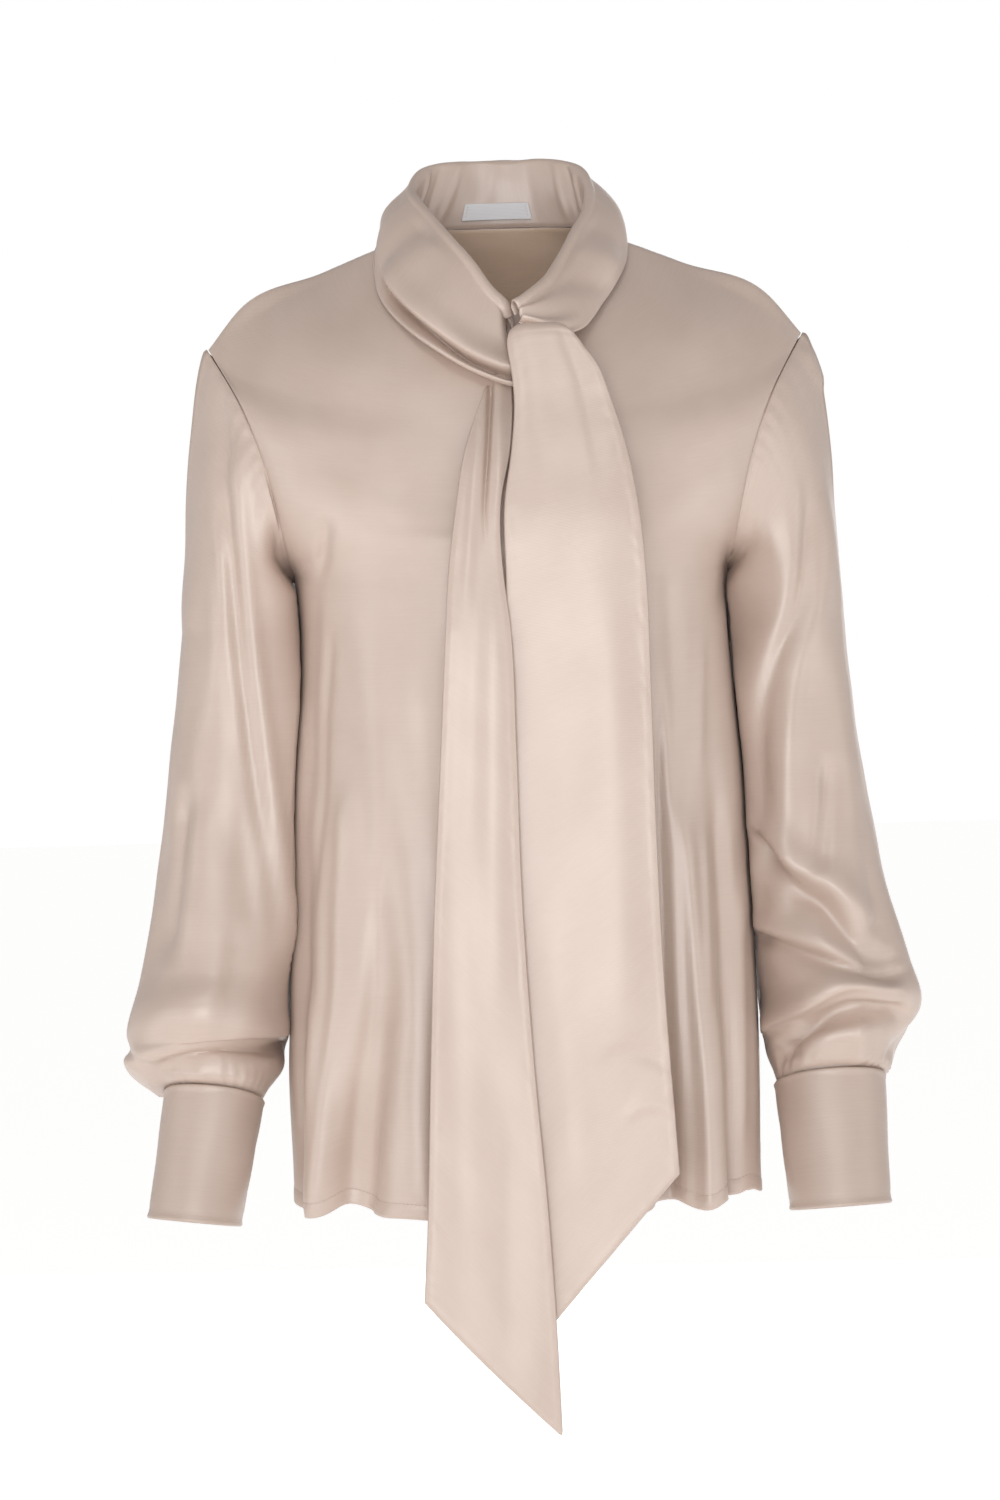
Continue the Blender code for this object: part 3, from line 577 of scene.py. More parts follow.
@dataclass(frozen=True)
class SatinFinish:
    """Polyester crepe-back satin, woven with long warp floats: a soft broad gloss along the threads.

    The floats are 0.25 mm apart, too fine for a whole view, so the weave is drawn 1.8 mm apart and faint.
    """

    name: str
    colour: str
    shade: str
    roughness: float
    sheen: float
    weave_depth: float
    weave_spacing: float = 0.00178
    streak_length: float = 0.030
    streak_width: float = 0.0012
    drift_size: float = 0.06
    ior: float = 1.56
    specular: float = 0.9
    anisotropic: float = 0.45
    sheen_colour: str = "#FFF3EA"

    def make(self) -> bpy.types.Material:
        """Makes the material: streaky colour and weave on the cloth's own places.

        Returns:
            The material.
        """
        material = bpy.data.materials.new(self.name)
        material.use_nodes = True
        tree = material.node_tree
        shader = tree.nodes["Principled BSDF"]
        cloth = add_node(tree, "ShaderNodeUVMap", {"uv_map": "cloth"}).outputs["UV"]
        streaks = add_node(tree, "ShaderNodeMapping", Vector=cloth,
                           Scale=(1 / self.streak_length, 1 / self.streak_width, 1.0))
        streak = add_node(tree, "ShaderNodeTexNoise", {"Scale": 1.0, "Detail": 2.0, "Roughness": 0.5},
                          Vector=streaks.outputs["Vector"])
        drift = add_node(tree, "ShaderNodeTexNoise", {"Scale": 1 / self.drift_size, "Detail": 2.0},
                         Vector=cloth)
        mean = add_node(tree, "ShaderNodeMath", {"operation": "MULTIPLY_ADD"})
        tree.links.new(streak.outputs["Fac"], mean.inputs[0])
        mean.inputs[1].default_value = 0.45
        tree.links.new(drift.outputs["Fac"], mean.inputs[2])
        tone = add_node(tree, "ShaderNodeMapRange", {"From Min": 0.4, "From Max": 1.05},
                        Value=mean.outputs["Value"])
        colour = add_node(tree, "ShaderNodeMix", {"data_type": "RGBA"})
        tree.links.new(tone.outputs["Result"], colour.inputs[0])
        colour.inputs[6].default_value = linear(self.shade)
        colour.inputs[7].default_value = linear(self.colour)
        tree.links.new(colour.outputs[2], shader.inputs["Base Color"])
        threads = add_node(tree, "ShaderNodeMapping", Vector=cloth, Rotation=(0.0, 0.0, math.radians(63)))
        weave = add_node(tree, "ShaderNodeTexWave", {"Scale": band_scale(self.weave_spacing),
                                                     "Distortion": 1.2, "Detail": 1.0, "Detail Scale": 2.0},
                         Vector=threads.outputs["Vector"])
        fine = add_node(tree, "ShaderNodeBump", {"Strength": self.weave_depth, "Distance": 0.0002},
                        Height=weave.outputs["Fac"])
        soft = add_node(tree, "ShaderNodeBump", {"Strength": self.weave_depth * 0.6, "Distance": 0.0002},
                        Height=streak.outputs["Fac"], Normal=fine.outputs["Normal"])
        tree.links.new(soft.outputs["Normal"], shader.inputs["Normal"])
        shader.inputs["Roughness"].default_value = self.roughness
        shader.inputs["IOR"].default_value = self.ior
        shader.inputs["Specular IOR Level"].default_value = self.specular
        shader.inputs["Anisotropic"].default_value = self.anisotropic
        shader.inputs["Sheen Weight"].default_value = self.sheen
        shader.inputs["Sheen Roughness"].default_value = 0.35
        shader.inputs["Sheen Tint"].default_value = linear(self.sheen_colour)
        return material


@dataclass(frozen=True)
class TapeFinish:
    """Woven polyester label tape or spun thread: matt, with a fine rib across it.

    The real rib is about 0.5 mm apart, too fine for a whole view, so it is drawn about 1 mm apart.
    """

    name: str
    colour: str
    roughness: float
    pitch: float = 0.00099

    def make(self) -> bpy.types.Material:
        """Makes the material: a faint rib over the object's own height, with painted shade in its grooves.

        Returns:
            The material.
        """
        material = bpy.data.materials.new(self.name)
        material.use_nodes = True
        tree = material.node_tree
        shader = tree.nodes["Principled BSDF"]
        place = add_node(tree, "ShaderNodeTexCoord").outputs["Object"]
        rib = add_node(tree, "ShaderNodeTexWave", {"bands_direction": "Z", "Scale": band_scale(self.pitch),
                                                   "Distortion": 0.6}, Vector=place)
        bump = add_node(tree, "ShaderNodeBump", {"Strength": 0.25, "Distance": 0.0002},
                        Height=rib.outputs["Fac"])
        tree.links.new(bump.outputs["Normal"], shader.inputs["Normal"])
        # The rib's low bands are coloured a tenth darker than its high bands: painted shade in the rib's
        # grooves.
        painted_groove_shade = add_node(tree, "ShaderNodeMix", {"data_type": "RGBA"})
        tree.links.new(rib.outputs["Fac"], painted_groove_shade.inputs[0])
        painted_groove_shade.inputs[6].default_value = tuple(0.9 * part for part in linear(self.colour)[:3]) + (1.0,)
        painted_groove_shade.inputs[7].default_value = linear(self.colour)
        tree.links.new(painted_groove_shade.outputs[2], shader.inputs["Base Color"])
        shader.inputs["Roughness"].default_value = self.roughness
        shader.inputs["Specular IOR Level"].default_value = 0.3
        return material


@dataclass(frozen=True)
class BodyForm:
    """The body that front, back, armholes and neckline are read from.

    "up" is 0 at the hem, 1 at the underarm, 2 at the shoulder tip and 3 at the neckline.
    """

    middles: tuple = (
        Middle(0.00, 0.132, -0.665, 0.113, -0.668, 90),
        Middle(0.30, 0.129, -0.536, 0.105, -0.538, 90),
        Middle(0.60, 0.126, -0.407, 0.098, -0.407, 90),
        Middle(0.80, 0.125, -0.321, 0.098, -0.320, 90),
        Middle(1.00, 0.127, -0.237, 0.104, -0.236, 88),
        Middle(1.35, 0.123, -0.198, 0.106, -0.190, 68),
        Middle(1.70, 0.114, -0.158, 0.104, -0.136, 61),
        Middle(2.00, 0.103, -0.124, 0.097, -0.088, 66),
        Middle(2.50, 0.087, -0.086, 0.078, -0.026, 80),
        Middle(3.00, 0.070, -0.054, 0.055, 0.013, 90),
    )
    side_seam: tuple = (
        Edge(0.00, 0.160, 0.0, 0.0, -0.632),
        Edge(0.30, 0.161, 0.0, 0.0, -0.516),
        Edge(0.60, 0.1565, 0.0, 0.0, -0.393),
        Edge(0.80, 0.1500, 0.0, 0.0, -0.310),
        Edge(0.92, 0.1470, 0.0, 0.0, -0.261),
        Edge(1.00, 0.1500, 0.0, 0.0, -0.228),
    )
    armhole_edge: tuple = (
        Edge(1.00, 0.1500, 0.000, 0.000, -0.228),
        Edge(1.16, 0.1530, 0.040, 0.040, -0.216),
        Edge(1.36, 0.1585, 0.064, 0.066, -0.187),
        Edge(1.60, 0.1680, 0.067, 0.073, -0.148),
        Edge(1.80, 0.1830, 0.050, 0.057, -0.109),
        Edge(2.00, 0.2050, 0.000, 0.000, -0.070),
    )
    shoulder_seam: tuple = (
        Edge(2.00, 0.2050, 0.0, 0.0, -0.070),
        Edge(2.20, 0.1810, 0.0, 0.0, -0.041),
        Edge(2.60, 0.1250, 0.0, 0.0, -0.019),
        Edge(3.00, 0.0660, 0.0, 0.0, 0.004),
    )
    front_folds: tuple = (
        BodyFold(-0.86, -0.84, 0.004, 0.050, 0.85),
        BodyFold(-0.76, -0.70, -0.006, 0.050, 0.95),
        BodyFold(-0.66, -0.62, 0.011, 0.065, 0.90),
        BodyFold(-0.53, -0.25, -0.015, 0.075, 0.62),
        BodyFold(-0.34, -0.28, 0.006, 0.090, 0.70),
        BodyFold(-0.10, -0.08, -0.007, 0.080, 0.60),
        BodyFold(0.12, 0.10, 0.004, 0.080, 0.65),
        BodyFold(0.26, 0.22, -0.006, 0.070, 0.60),
        BodyFold(0.40, 0.37, -0.014, 0.062, 0.68),
        BodyFold(0.54, 0.52, 0.010, 0.070, 0.80),
        BodyFold(0.67, 0.60, -0.006, 0.050, 1.10),
        BodyFold(0.80, 0.76, 0.005, 0.055, 0.95),
    )
    back_folds: tuple = (
        BodyFold(-0.80, -0.74, 0.006, 0.070, 0.90),
        BodyFold(-0.62, -0.56, -0.010, 0.070, 0.80),
        BodyFold(-0.42, -0.36, 0.012, 0.085, 0.90),
        BodyFold(-0.20, -0.16, -0.009, 0.080, 0.70),
        BodyFold(0.02, 0.00, 0.009, 0.085, 0.85),
        BodyFold(0.22, 0.18, -0.011, 0.075, 0.80),
        BodyFold(0.44, 0.38, 0.011, 0.085, 0.95),
        BodyFold(0.64, 0.56, -0.008, 0.070, 0.75),
        BodyFold(0.82, 0.76, 0.005, 0.065, 0.90),
    )
    squareness: float = 0.88
    hem_sweep: float = 9.0
    chest_sweep: float = 2.0
    seam_gap: float = 0.0003

    def seam_edge(self, panel: Panel, up: Array) -> tuple:
        """Reads a panel's side edge: the side seam, then the armhole, then the shoulder seam.

        Args:
            panel: front or back.
            up: level, from 0 to 3.

        Returns:
            How far out the edge is, its y and its height, at each level.
        """
        reach = "fore" if panel is Panel.FRONT else "back"
        zone = np.clip(np.ceil(np.round(up, 6)).astype(int) - 1, 0, 2)
        out, y, height = (np.zeros(np.shape(up)) for _ in range(3))
        for number, table in enumerate((self.side_seam, self.armhole_edge, self.shoulder_seam)):
            here = zone == number
            out[here] = column(table, "up", "out", up[here])
            y[here] = panel.value * column(table, "up", reach, up[here])
            height[here] = column(table, "up", "height", up[here])
        return out, y + panel.value * self.seam_gap / 2, height

    def points(self, panel: Panel, across: Array, up: Array) -> Array:
        """Points of a panel: each level is an arc from the middle to the side edge.

        x is the edge's x times the arc's sine, y and z ease from the middle's to the edge's, and the folds
        move a point outward by bells across the panel that grow towards the hem.

        Args:
            panel: front or back.
            across: place across the panel, from -1 to 1.
            up: level, from 0 to 3.

        Returns:
            The points, in the grid's shape.
        """
        across, up = np.broadcast_arrays(np.asarray(across, float), np.asarray(up, float))
        side = "front" if panel is Panel.FRONT else "back"
        out, edge_y, edge_height = self.seam_edge(panel, up)
        middle_y = panel.value * column(self.middles, "up", side, up)
        middle_height = column(self.middles, "up", side + "_height", up)
        turn = np.radians(column(self.middles, "up", "turn", up))
        t = np.abs(across)
        sine = (np.sin(t * turn) / np.sin(turn)) ** self.squareness
        drop = 1 - np.maximum(np.cos(t * turn), 0.0) ** self.squareness
        full_drop = 1 - np.maximum(np.cos(turn), 0.0) ** self.squareness
        sweep = self.chest_sweep + (self.hem_sweep - self.chest_sweep) * ease(1 - up)
        x = np.sign(across) * out * sine
        y = middle_y + (edge_y - middle_y) * drop / full_drop
        z = middle_height + (edge_height - middle_height) * t**sweep
        raised = np.zeros_like(x)
        for fold in self.front_folds if panel is Panel.FRONT else self.back_folds:
            grown = ease(1 - up / fold.top) ** 1.4
            place = fold.hem_place + (fold.top_place - fold.hem_place) * np.clip(up / fold.top, 0, 1)
            raised += fold.depth * grown * np.exp(-(((across - place) / fold.width) ** 2))
        raised = raised * ease((1 - t) / 0.12)
        x = x + raised * np.sign(across) * np.sin(t * turn)
        y = y + raised * panel.value * np.cos(t * turn)
        return np.stack([x, y, z], axis=-1)

    def armhole(self, side: Side, count: int) -> tuple:
        """The armhole's points and the ways out of it, from the underarm up the front and down the back.

        Args:
            side: the wearer's side.
            count: steps from the underarm to the shoulder tip.

        Returns:
            Points and unit vectors, each (2 * count, 3).
        """
        ups = np.linspace(1, 2, count + 1)
        loops = []
        for panel in (Panel.FRONT, Panel.BACK):
            edge = self.points(panel, np.full_like(ups, side.value), ups)
            inside = self.points(panel, np.full_like(ups, side.value * 0.98), ups)
            loops.append((edge, unit(edge - inside)))
        (front, front_out), (back, back_out) = loops
        points = np.concatenate([front[:-1], back[:0:-1]])
        ways = np.concatenate([front_out[:-1], back_out[:0:-1]])
        for number in (0, count):
            points[number] = (front[number] + back[number]) / 2
            ways[number] = unit(front_out[number] + back_out[number])
        return points, ways

    def neckline(self, around: Array) -> Array:
        """Reads the neckline.

        Args:
            around: the band's round value, 0 at the back, 1 and -1 at the front.

        Returns:
            The points, (count, 3).
        """
        size = np.minimum(np.abs(around), 1.0)
        back = self.points(Panel.BACK, np.clip(around / 0.5, -1, 1), np.full_like(around, 3.0))
        across = np.sign(around) * (1 - (size - 0.5) / 0.5)
        front = self.points(Panel.FRONT, across, np.full_like(around, 3.0))
        return np.where((size <= 0.5)[:, None], back, front)


@dataclass
class BodyPanel:
    """The front or back: the body's form with creases, a turned hem and seams drawn in a little."""

    name: str
    panel: Panel
    form: BodyForm
    columns: int
    creases: tuple
    cut: tuple
    lifts: tuple
    seed: int
    slit: bool = False
    thickness: float = 0.0008
    hem_depth: float = 0.009
    shoulder_drop: float = 0.0055
    slit_half_top: float = 0.0020
    slit_half_bottom: float = 0.0002
    seam_groove: float = 0.0007
    seam_width: float = 0.0022
    pucker: float = 0.0004
    hem_ridge: float = 0.0004

    def levels(self) -> Array:
        """Spaces the rows, close together at the turned hem.

        Returns:
            The rows' levels, from 0 to 3.
        """
        hem = np.linspace(0, 0.036, 9)
        skirt = np.linspace(0.036, 1, 84)
        armhole = np.linspace(1, 2, 52)
        shoulder = np.linspace(2, 3, 30)
        return np.concatenate([hem, skirt[1:], armhole[1:], shoulder[1:]])

    def shell(self) -> Shell:
        """Works out the panel's points and its shell.

        At the slit, two middle columns part above the underarm's level, by a width that grows with the cube
        of the height over it.

        Returns:
            The shell, with its finished points.
        """
        ups = self.levels()
        half = self.columns // 2
        if self.slit:
            across = np.concatenate([np.linspace(-1, 0, half + 1), np.linspace(0, 1, half + 1)])
        else:
            across = np.linspace(-1, 1, self.columns + 1)
        grid = self.form.points(self.panel, across[None, :], ups[:, None])
        ids = np.arange(grid.shape[0] * grid.shape[1]).reshape(grid.shape[:2])
        skipped = None
        if self.slit:
            skipped = np.zeros(len(across) - 1, bool)
            skipped[half] = True
            below = ups <= 1.0
            ids[below, half + 1] = ids[below, half]
            widening = self.slit_half_top - self.slit_half_bottom
            opening = np.where(below, 0.0, self.slit_half_bottom + widening * ((ups - 1) / 2) ** 3)
            grid[:, half, 0] = -opening
            grid[:, half + 1, 0] = opening
        shell = Shell(self.name, grid, self.thickness, (2, half, (0, self.panel.value, 0)),
                      ids=ids, skipped=skipped)
        normals = shell.normals()
        run = lengths(grid, 1)
        edge = np.minimum(run, run[:, -1:] - run)
        shell.points = self.shaped(grid, normals, edge, lengths(grid, 0))
        return shell

    def shaped(self, grid: Array, normals: Array, edge: Array, above_hem: Array) -> Array:
        """Lays creases, drift, seam grooves and the turned hem on the form.

        Args:
            grid: the form's points.
            normals: their normals.
            edge: distance from the nearer side edge.
            above_hem: distance from the hem.

        Returns:
            The finished points.
        """
        hold = ease(edge / 0.014)
        moved = creased(grid, normals, self.creases, hold)
        drift = unevenness(grid[..., 0], grid[..., 2] * 0.45, 0.055, self.seed) * 0.0007
        fine = unevenness(grid[..., 0], grid[..., 2] * 0.3, 0.022, self.seed + 1) * 0.00022
        groove = -self.seam_groove * np.exp(-((edge / self.seam_width) ** 2))
        pucker = self.pucker * np.sin(above_hem / 0.0026) * np.exp(-edge / 0.006) * hold
        hem = self.hem_ridge * ease((self.hem_depth - above_hem) / 0.002)
        hem -= 0.0003 * np.exp(-(((above_hem - self.hem_depth) / 0.0012) ** 2))
        total = (drift + fine) * hold + groove + pucker + hem
        moved = moved + normals * total[..., None]
        slope = np.exp(-(((np.abs(grid[..., 0]) - 0.166) / 0.022) ** 2)) * ease((grid[..., 2] + 0.10) / 0.05)
        moved[..., 2] -= self.shoulder_drop * slope * hold
        for place, lift, width in self.lifts:
            bell = np.exp(-(((grid[..., 0] / MM - place) / width) ** 2))
            moved[..., 2] += lift * MM * bell * ease(1 - above_hem / 0.14) * hold
        return moved

    def build(self, satin: bpy.types.Material, reverse: bpy.types.Material,
              thread: bpy.types.Material) -> bpy.types.Object:
        """Builds the panel with its hem stitches, and keeps a thinned copy of its surface.

        Args:
            satin: the outer finish.
            reverse: the inner finish.
            thread: the stitches' finish.

        Returns:
            The panel.
        """
        shell = self.shell()
        normals = shell.normals()
        obj = placed(shell.build((satin, reverse)), "satin", self.name)
        row = int(np.argmin(np.abs(lengths(shell.points, 0)[:, shell.points.shape[1] // 2] - self.hem_depth)))
        stitches = StitchRow(self.name + "_hem_stitches", shell.points[row], normals[row]).build(thread)
        self.surface = shell.points[::3, ::3].reshape(-1, 3)
        self.surface_normals = normals[::3, ::3].reshape(-1, 3)
        return obj


@dataclass
class StitchRow:
    """A row of lock stitches: small spindles laid end to end along a line on the cloth."""

    name: str
    line: Array
    normals: Array
    pitch: float = 0.0028
    length: float = 0.0021
    radius: float = 0.00022
    lift: float = 0.00012

    def build(self, thread: bpy.types.Material) -> bpy.types.Object:
        """Builds the row: a spindle's rings are carried to each stitch's middle and turned along the line.

        Args:
            thread: its finish.

        Returns:
            The row, as one object.
        """
        run = np.concatenate([[0.0], np.cumsum(np.linalg.norm(np.diff(self.line, axis=0), axis=1))])
        middles = np.arange(self.pitch, run[-1] - self.pitch / 2, self.pitch)
        centre = np.stack([np.interp(middles, run, self.line[:, axis]) for axis in range(3)], axis=1)
        ahead = np.stack([np.interp(middles + 0.001, run, self.line[:, axis]) for axis in range(3)], axis=1)
        up = unit(np.stack([np.interp(middles, run, self.normals[:, axis]) for axis in range(3)], axis=1))
        along = unit(ahead - centre)
        beside = np.cross(up, along)
        places = np.array([-1.0, -0.6, 0.6, 1.0])
        sizes = np.array([0.25, 1.0, 1.0, 0.25])
        turns = 2 * np.pi * np.arange(5) / 5
        rings = centre[:, None, None] + along[:, None, None] * (places * self.length / 2)[None, :, None, None]
        sideways = (sizes[:, None] * np.cos(turns))[None, ..., None] * beside[:, None, None]
        upward = (sizes[:, None] * np.sin(turns) + 0.5 * sizes[:, None])[None, ..., None] * up[:, None, None]
        points = (rings + (sideways + upward) * self.radius + up[:, None, None] * self.lift).reshape(-1, 3)
        caps = np.array([[0, 4, 3, 1], [3, 2, 1, 1], [15, 16, 18, 19], [16, 17, 18, 18]])
        faces = np.concatenate([tube_quads(4, 5), caps])
        faces = (faces[None] + 20 * np.arange(len(middles))[:, None, None]).reshape(-1, 4)
        four = faces[faces[:, 2] != faces[:, 3]]
        three = faces[faces[:, 2] == faces[:, 3]][:, :3]
        mesh = bpy.data.meshes.new(self.name)
        mesh.from_pydata(points.tolist(), [], four.tolist() + three.tolist())
        mesh.materials.append(thread)
        return placed(linked(self.name, mesh), "thread")


@dataclass(frozen=True)
class Cuff:
    """A doubled straight cuff: ovals between its upper and lower ends, with a turned edge."""

    name: str
    side: Side
    size: CuffSize
    cut: tuple
    tilt: float
    rise: float = 0.27
    low_rise: float = 0.07
    thickness: float = 0.0018
    columns: int = 112
    rows: int = 34

    def ring(self, along: float, angles: Array) -> Array:
        """Works out a ring of the cuff.

        Args:
            along: 0 at its seam, 1 at its open end.
            angles: angles round the cuff.

        Returns:
            The ring's points, (count, 3).
        """
        size = self.size
        out = size.top_out + (size.low_out - size.top_out) * along
        fore = size.top_fore + (size.low_fore - size.top_fore) * along
        height = size.top_height + (size.low_height - size.top_height) * along
        half = size.top_half + (size.low_half - size.top_half) * along
        depth = size.depth_half
        rise = self.rise + (self.low_rise - self.rise) * along
        ring = oval(self.side, angles, out - half, out + half, fore + depth, depth - fore, height, rise)
        ring[:, 2] += self.tilt * (self.side.value * ring[:, 0] - out)
        return ring

    def build(self, satin: bpy.types.Material, reverse: bpy.types.Material) -> bpy.types.Object:
        """Builds the cuff with faint seam edges and a slow drift.

        Args:
            satin: the outer finish.
            reverse: the inner finish.

        Returns:
            The cuff.
        """
        angles = ring_angles(self.columns)
        t = np.linspace(0, 1, self.rows + 1)
        t = 0.5 * (t + 0.5 - 0.5 * np.cos(np.pi * t))
        grid = np.stack([self.ring(float(along), angles) for along in t])
        shell = Shell(self.name, grid, self.thickness, (5, 0, (self.side.value, 0, 0)), closed=True)
        normals = shell.normals()
        down = lengths(grid, 0)
        edge = np.minimum(down, down[-1:] - down)
        drift = unevenness(angles[None, :] * 0.035, down, 0.045, 11) * 0.0005
        total = drift * ease(edge / 0.006) - 0.0006 * np.exp(-((edge / 0.0020) ** 2))
        total += 0.00018 * np.exp(-(((down[-1:] - down - 0.006) / 0.0015) ** 2))
        shell.points = grid + normals * total[..., None]
        obj = placed(shell.build((satin, reverse)), "satin_cuff", self.name)
        return obj


def ring_angles(count: int) -> Array:
    """Angles round a tube that match the armhole's points: inner side, front, outer side, back."""
    return np.pi - 2 * np.pi * np.arange(count) / count


def oval(side: Side, angles: Array, inner: float, outer: float, front: float, back: float, height: float,
         rise: float, tuck: float = 0.0, squareness: float = 0.92) -> Array:
    """Works out one ring of a tube.

    x and y are the middle plus a half size times the angle's cosine or sine, each to the squareness. The ring
    is lifted towards its front, and its inner side is moved back.

    Args:
        side: the wearer's side.
        angles: angles round the ring.
        inner: where its side towards the body is, in x.
        outer: where its far side is, in x.
        front: reach forward.
        back: reach back.
        height: height of its middle.
        rise: lift for each metre forward.
        tuck: how far its inner side moves back.
        squareness: below 1, the oval is fuller at its corners.

    Returns:
        The ring's points, (count, 3).
    """
    middle_x = (inner + outer) / 2
    middle_y = (back - front) / 2
    cosine = np.cos(angles)
    sine = np.sin(angles)
    x = middle_x + (outer - inner) / 2 * np.sign(cosine) * np.abs(cosine) ** squareness
    y = middle_y - (front + back) / 2 * np.sign(sine) * np.abs(sine) ** squareness
    y = y + tuck * np.clip(-cosine, 0, 1) ** 2
    return np.stack([side.value * x, y, height - rise * (y - middle_y)], axis=-1)


@dataclass
class Sleeve:
    """A full sleeve: a curved cap from the armhole, rings down the arm and gathers at the cuff."""

    name: str
    side: Side
    form: BodyForm
    cuff: Cuff
    rings: tuple
    folds: tuple
    creases: tuple
    puff: float
    cut: tuple
    seed: int
    columns: int = 132
    head_rows: int = 44
    arm_rows: int = 150
    tuck: float = 0.026
    head_drop: float = 0.165
    body_gap: float = 0.0022
    seam_gap: float = 0.0004
    thickness: float = 0.0008
    gathers: int = 26
    gather_depth: float = 0.0011
    cap_gathers: int = 34
    cap_depth: float = 0.0006
    seam_width: float = 0.0022
    allowance: tuple = ((0.0050, 0.0022), (0.0012, 0.0016))
    drawn_in: float = 0.013
    drawn_from: float = 0.215
    drawn_to: float = 0.53

    def form_points(self) -> Array:
        """Works out the sleeve's form.

        Two rows of allowance are turned in behind the body's edge. Cubic curves run from the armhole to the
        first ring, where they arrive straight down. Ovals follow down to the cuff's seam.

        Returns:
            The points, (rows, columns, 3).
        """
        angles = ring_angles(self.columns)
        start, ways = self.form.armhole(self.side, self.columns // 2)
        outward = np.array([self.side.value, 0.0, 0.0])
        start = start + unit(ways + outward) * self.seam_gap
        first = self.rings[0]
        target = oval(self.side, angles, *first[1:5], first.height, first.rise, self.tuck)
        reach = np.linalg.norm(target - start, axis=1, keepdims=True)
        leave = unit(ways * 0.5 + np.array([self.side.value, 0.0, -0.35])) * np.minimum(self.puff, reach)
        arrive = np.array([0.0, 0.0, -1.0]) * np.minimum(self.head_drop, reach)
        t = np.linspace(0, 1, self.head_rows + 1)[:, None, None]
        head = start * (1 + 2 * t) * (1 - t) ** 2 + leave * t * (1 - t) ** 2
        head = head + target * t * t * (3 - 2 * t) + arrive * t * t * (t - 1)
        keys = [-ring.height for ring in self.rings]
        arm = []
        for length in np.linspace(keys[0], keys[-1], self.arm_rows)[1:]:
            sizes = [smooth(keys, [getattr(ring, name) for ring in self.rings], length)
                     for name in SleeveRing._fields[1:]]
            tuck = self.tuck * ease((-length - self.rings[-1].height) / 0.06)
            arm.append(oval(self.side, angles, *sizes[:4], -length, sizes[4], tuck))
        seam = self.cuff.ring(0.0, angles)
        axis = unit(self.cuff.ring(1.0, angles) - seam)
        underarm, tip = self.form.armhole_edge[0].height, self.form.armhole_edge[-1].height
        rise = np.clip((start[:, 2] - underarm) / (tip - underarm), 0, 1)
        inward = unit(np.stack([-self.side.value * (1 - rise), -start[:, 1] / 0.05, -rise], axis=1))
        turned_in = [start - ways * back + inward * deep for back, deep in self.allowance]
        return np.concatenate([np.stack(turned_in), head, np.stack(arm), (seam - axis * self.seam_gap)[None]])

    def long_folds(self, grid: Array) -> Array:
        """Works out the long folds: a bell over the angle from each fold's line, eased at its two ends.

        Args:
            grid: the form's points.

        Returns:
            Heights, one for each point.
        """
        degrees = np.degrees(ring_angles(self.columns))[None, :] % 360
        heights = grid[..., 2]
        total = np.zeros(grid.shape[:2])
        for fold in self.folds:
            along = (fold.top - heights) / (fold.top - fold.bottom)
            grown = ease(along / 0.35) * ease((1 - along) / 0.25)
            place = fold.top_angle + (fold.bottom_angle - fold.top_angle) * np.clip(along, 0, 1)
            apart = (degrees - place + 180) % 360 - 180
            total += fold.depth * grown * np.exp(-((apart / fold.width) ** 2))
        return total

    def build(self, satin: bpy.types.Material, reverse: bpy.types.Material, surface: Array,
              surface_normals: Array) -> bpy.types.Object:
        """Builds the sleeve, clear of the body's surface.

        Args:
            satin: the outer finish.
            reverse: the inner finish.
            surface: points of the body.
            surface_normals: their normals.

        Returns:
            The sleeve.
        """
        grid = self.form_points()
        away = unit((grid - grid.mean(axis=1, keepdims=True)) * np.array([1.0, 1.0, 0.0]))
        raised = self.long_folds(grid)
        beside = ease((-np.cos(ring_angles(self.columns)) - 0.1) / 0.6)[None, :]
        below = -grid[..., 2]
        drawn = beside * ease((below - self.drawn_from) / 0.03) * ease((self.drawn_to - below) / 0.06)
        drawn[:3] = 0.0
        grid[..., 0] -= self.side.value * self.drawn_in * drawn
        raised[:3] = 0.0
        raised[-1] = 0.0
        grid = grid + away * raised[..., None]
        shell = Shell(self.name, grid, self.thickness, (60, 8, away[60, 8]), closed=True)
        normals = shell.normals()
        down = np.maximum(lengths(grid, 0) - lengths(grid, 0)[2:3], 0.0)
        to_cuff = down[-1:] - down
        angles = ring_angles(self.columns)[None, :]
        hold = ease(down / 0.012) * ease(to_cuff / 0.010)
        moved = creased(grid, normals, self.creases, hold)
        around = angles * 0.055
        drift = unevenness(around, grid[..., 2] * 0.5, 0.055, self.seed) * 0.0008
        fine = unevenness(around, grid[..., 2] * 0.4, 0.020, self.seed + 1) * 0.00025
        uneven = 1 + 0.5 * np.sin(angles * 3 + self.seed) + 0.3 * np.sin(angles * 7 + 1.3)
        lean = angles + 0.35 * unevenness(angles * 0.05, down, 0.06, self.seed + 2) * ease(to_cuff / 0.03)
        fading = np.exp(-to_cuff / 0.010) * ease(to_cuff / 0.004)
        gather = self.gather_depth * uneven * np.cos(self.gathers * lean) * fading
        cap = self.cap_depth * np.cos(self.cap_gathers * angles) * np.exp(-down / 0.010) * ease(down / 0.003)
        groove = -0.0002 * np.exp(-((down / self.seam_width) ** 2))
        groove = groove - 0.0006 * np.exp(-((to_cuff / self.seam_width) ** 2))
        total = (drift + fine) * hold + gather + cap * ease(np.cos(angles) + 0.6) + groove
        moved = moved + normals * total[..., None]
        inner = ease((0.30 - np.cos(angles)) / 0.30)[..., None]
        cleared = pushed_clear(moved[14:-1], surface, surface_normals, self.body_gap)
        moved[14:-1] += (cleared - moved[14:-1]) * inner
        shell.points = moved
        obj = placed(shell.build((satin, reverse)), "satin", self.name)
        return obj


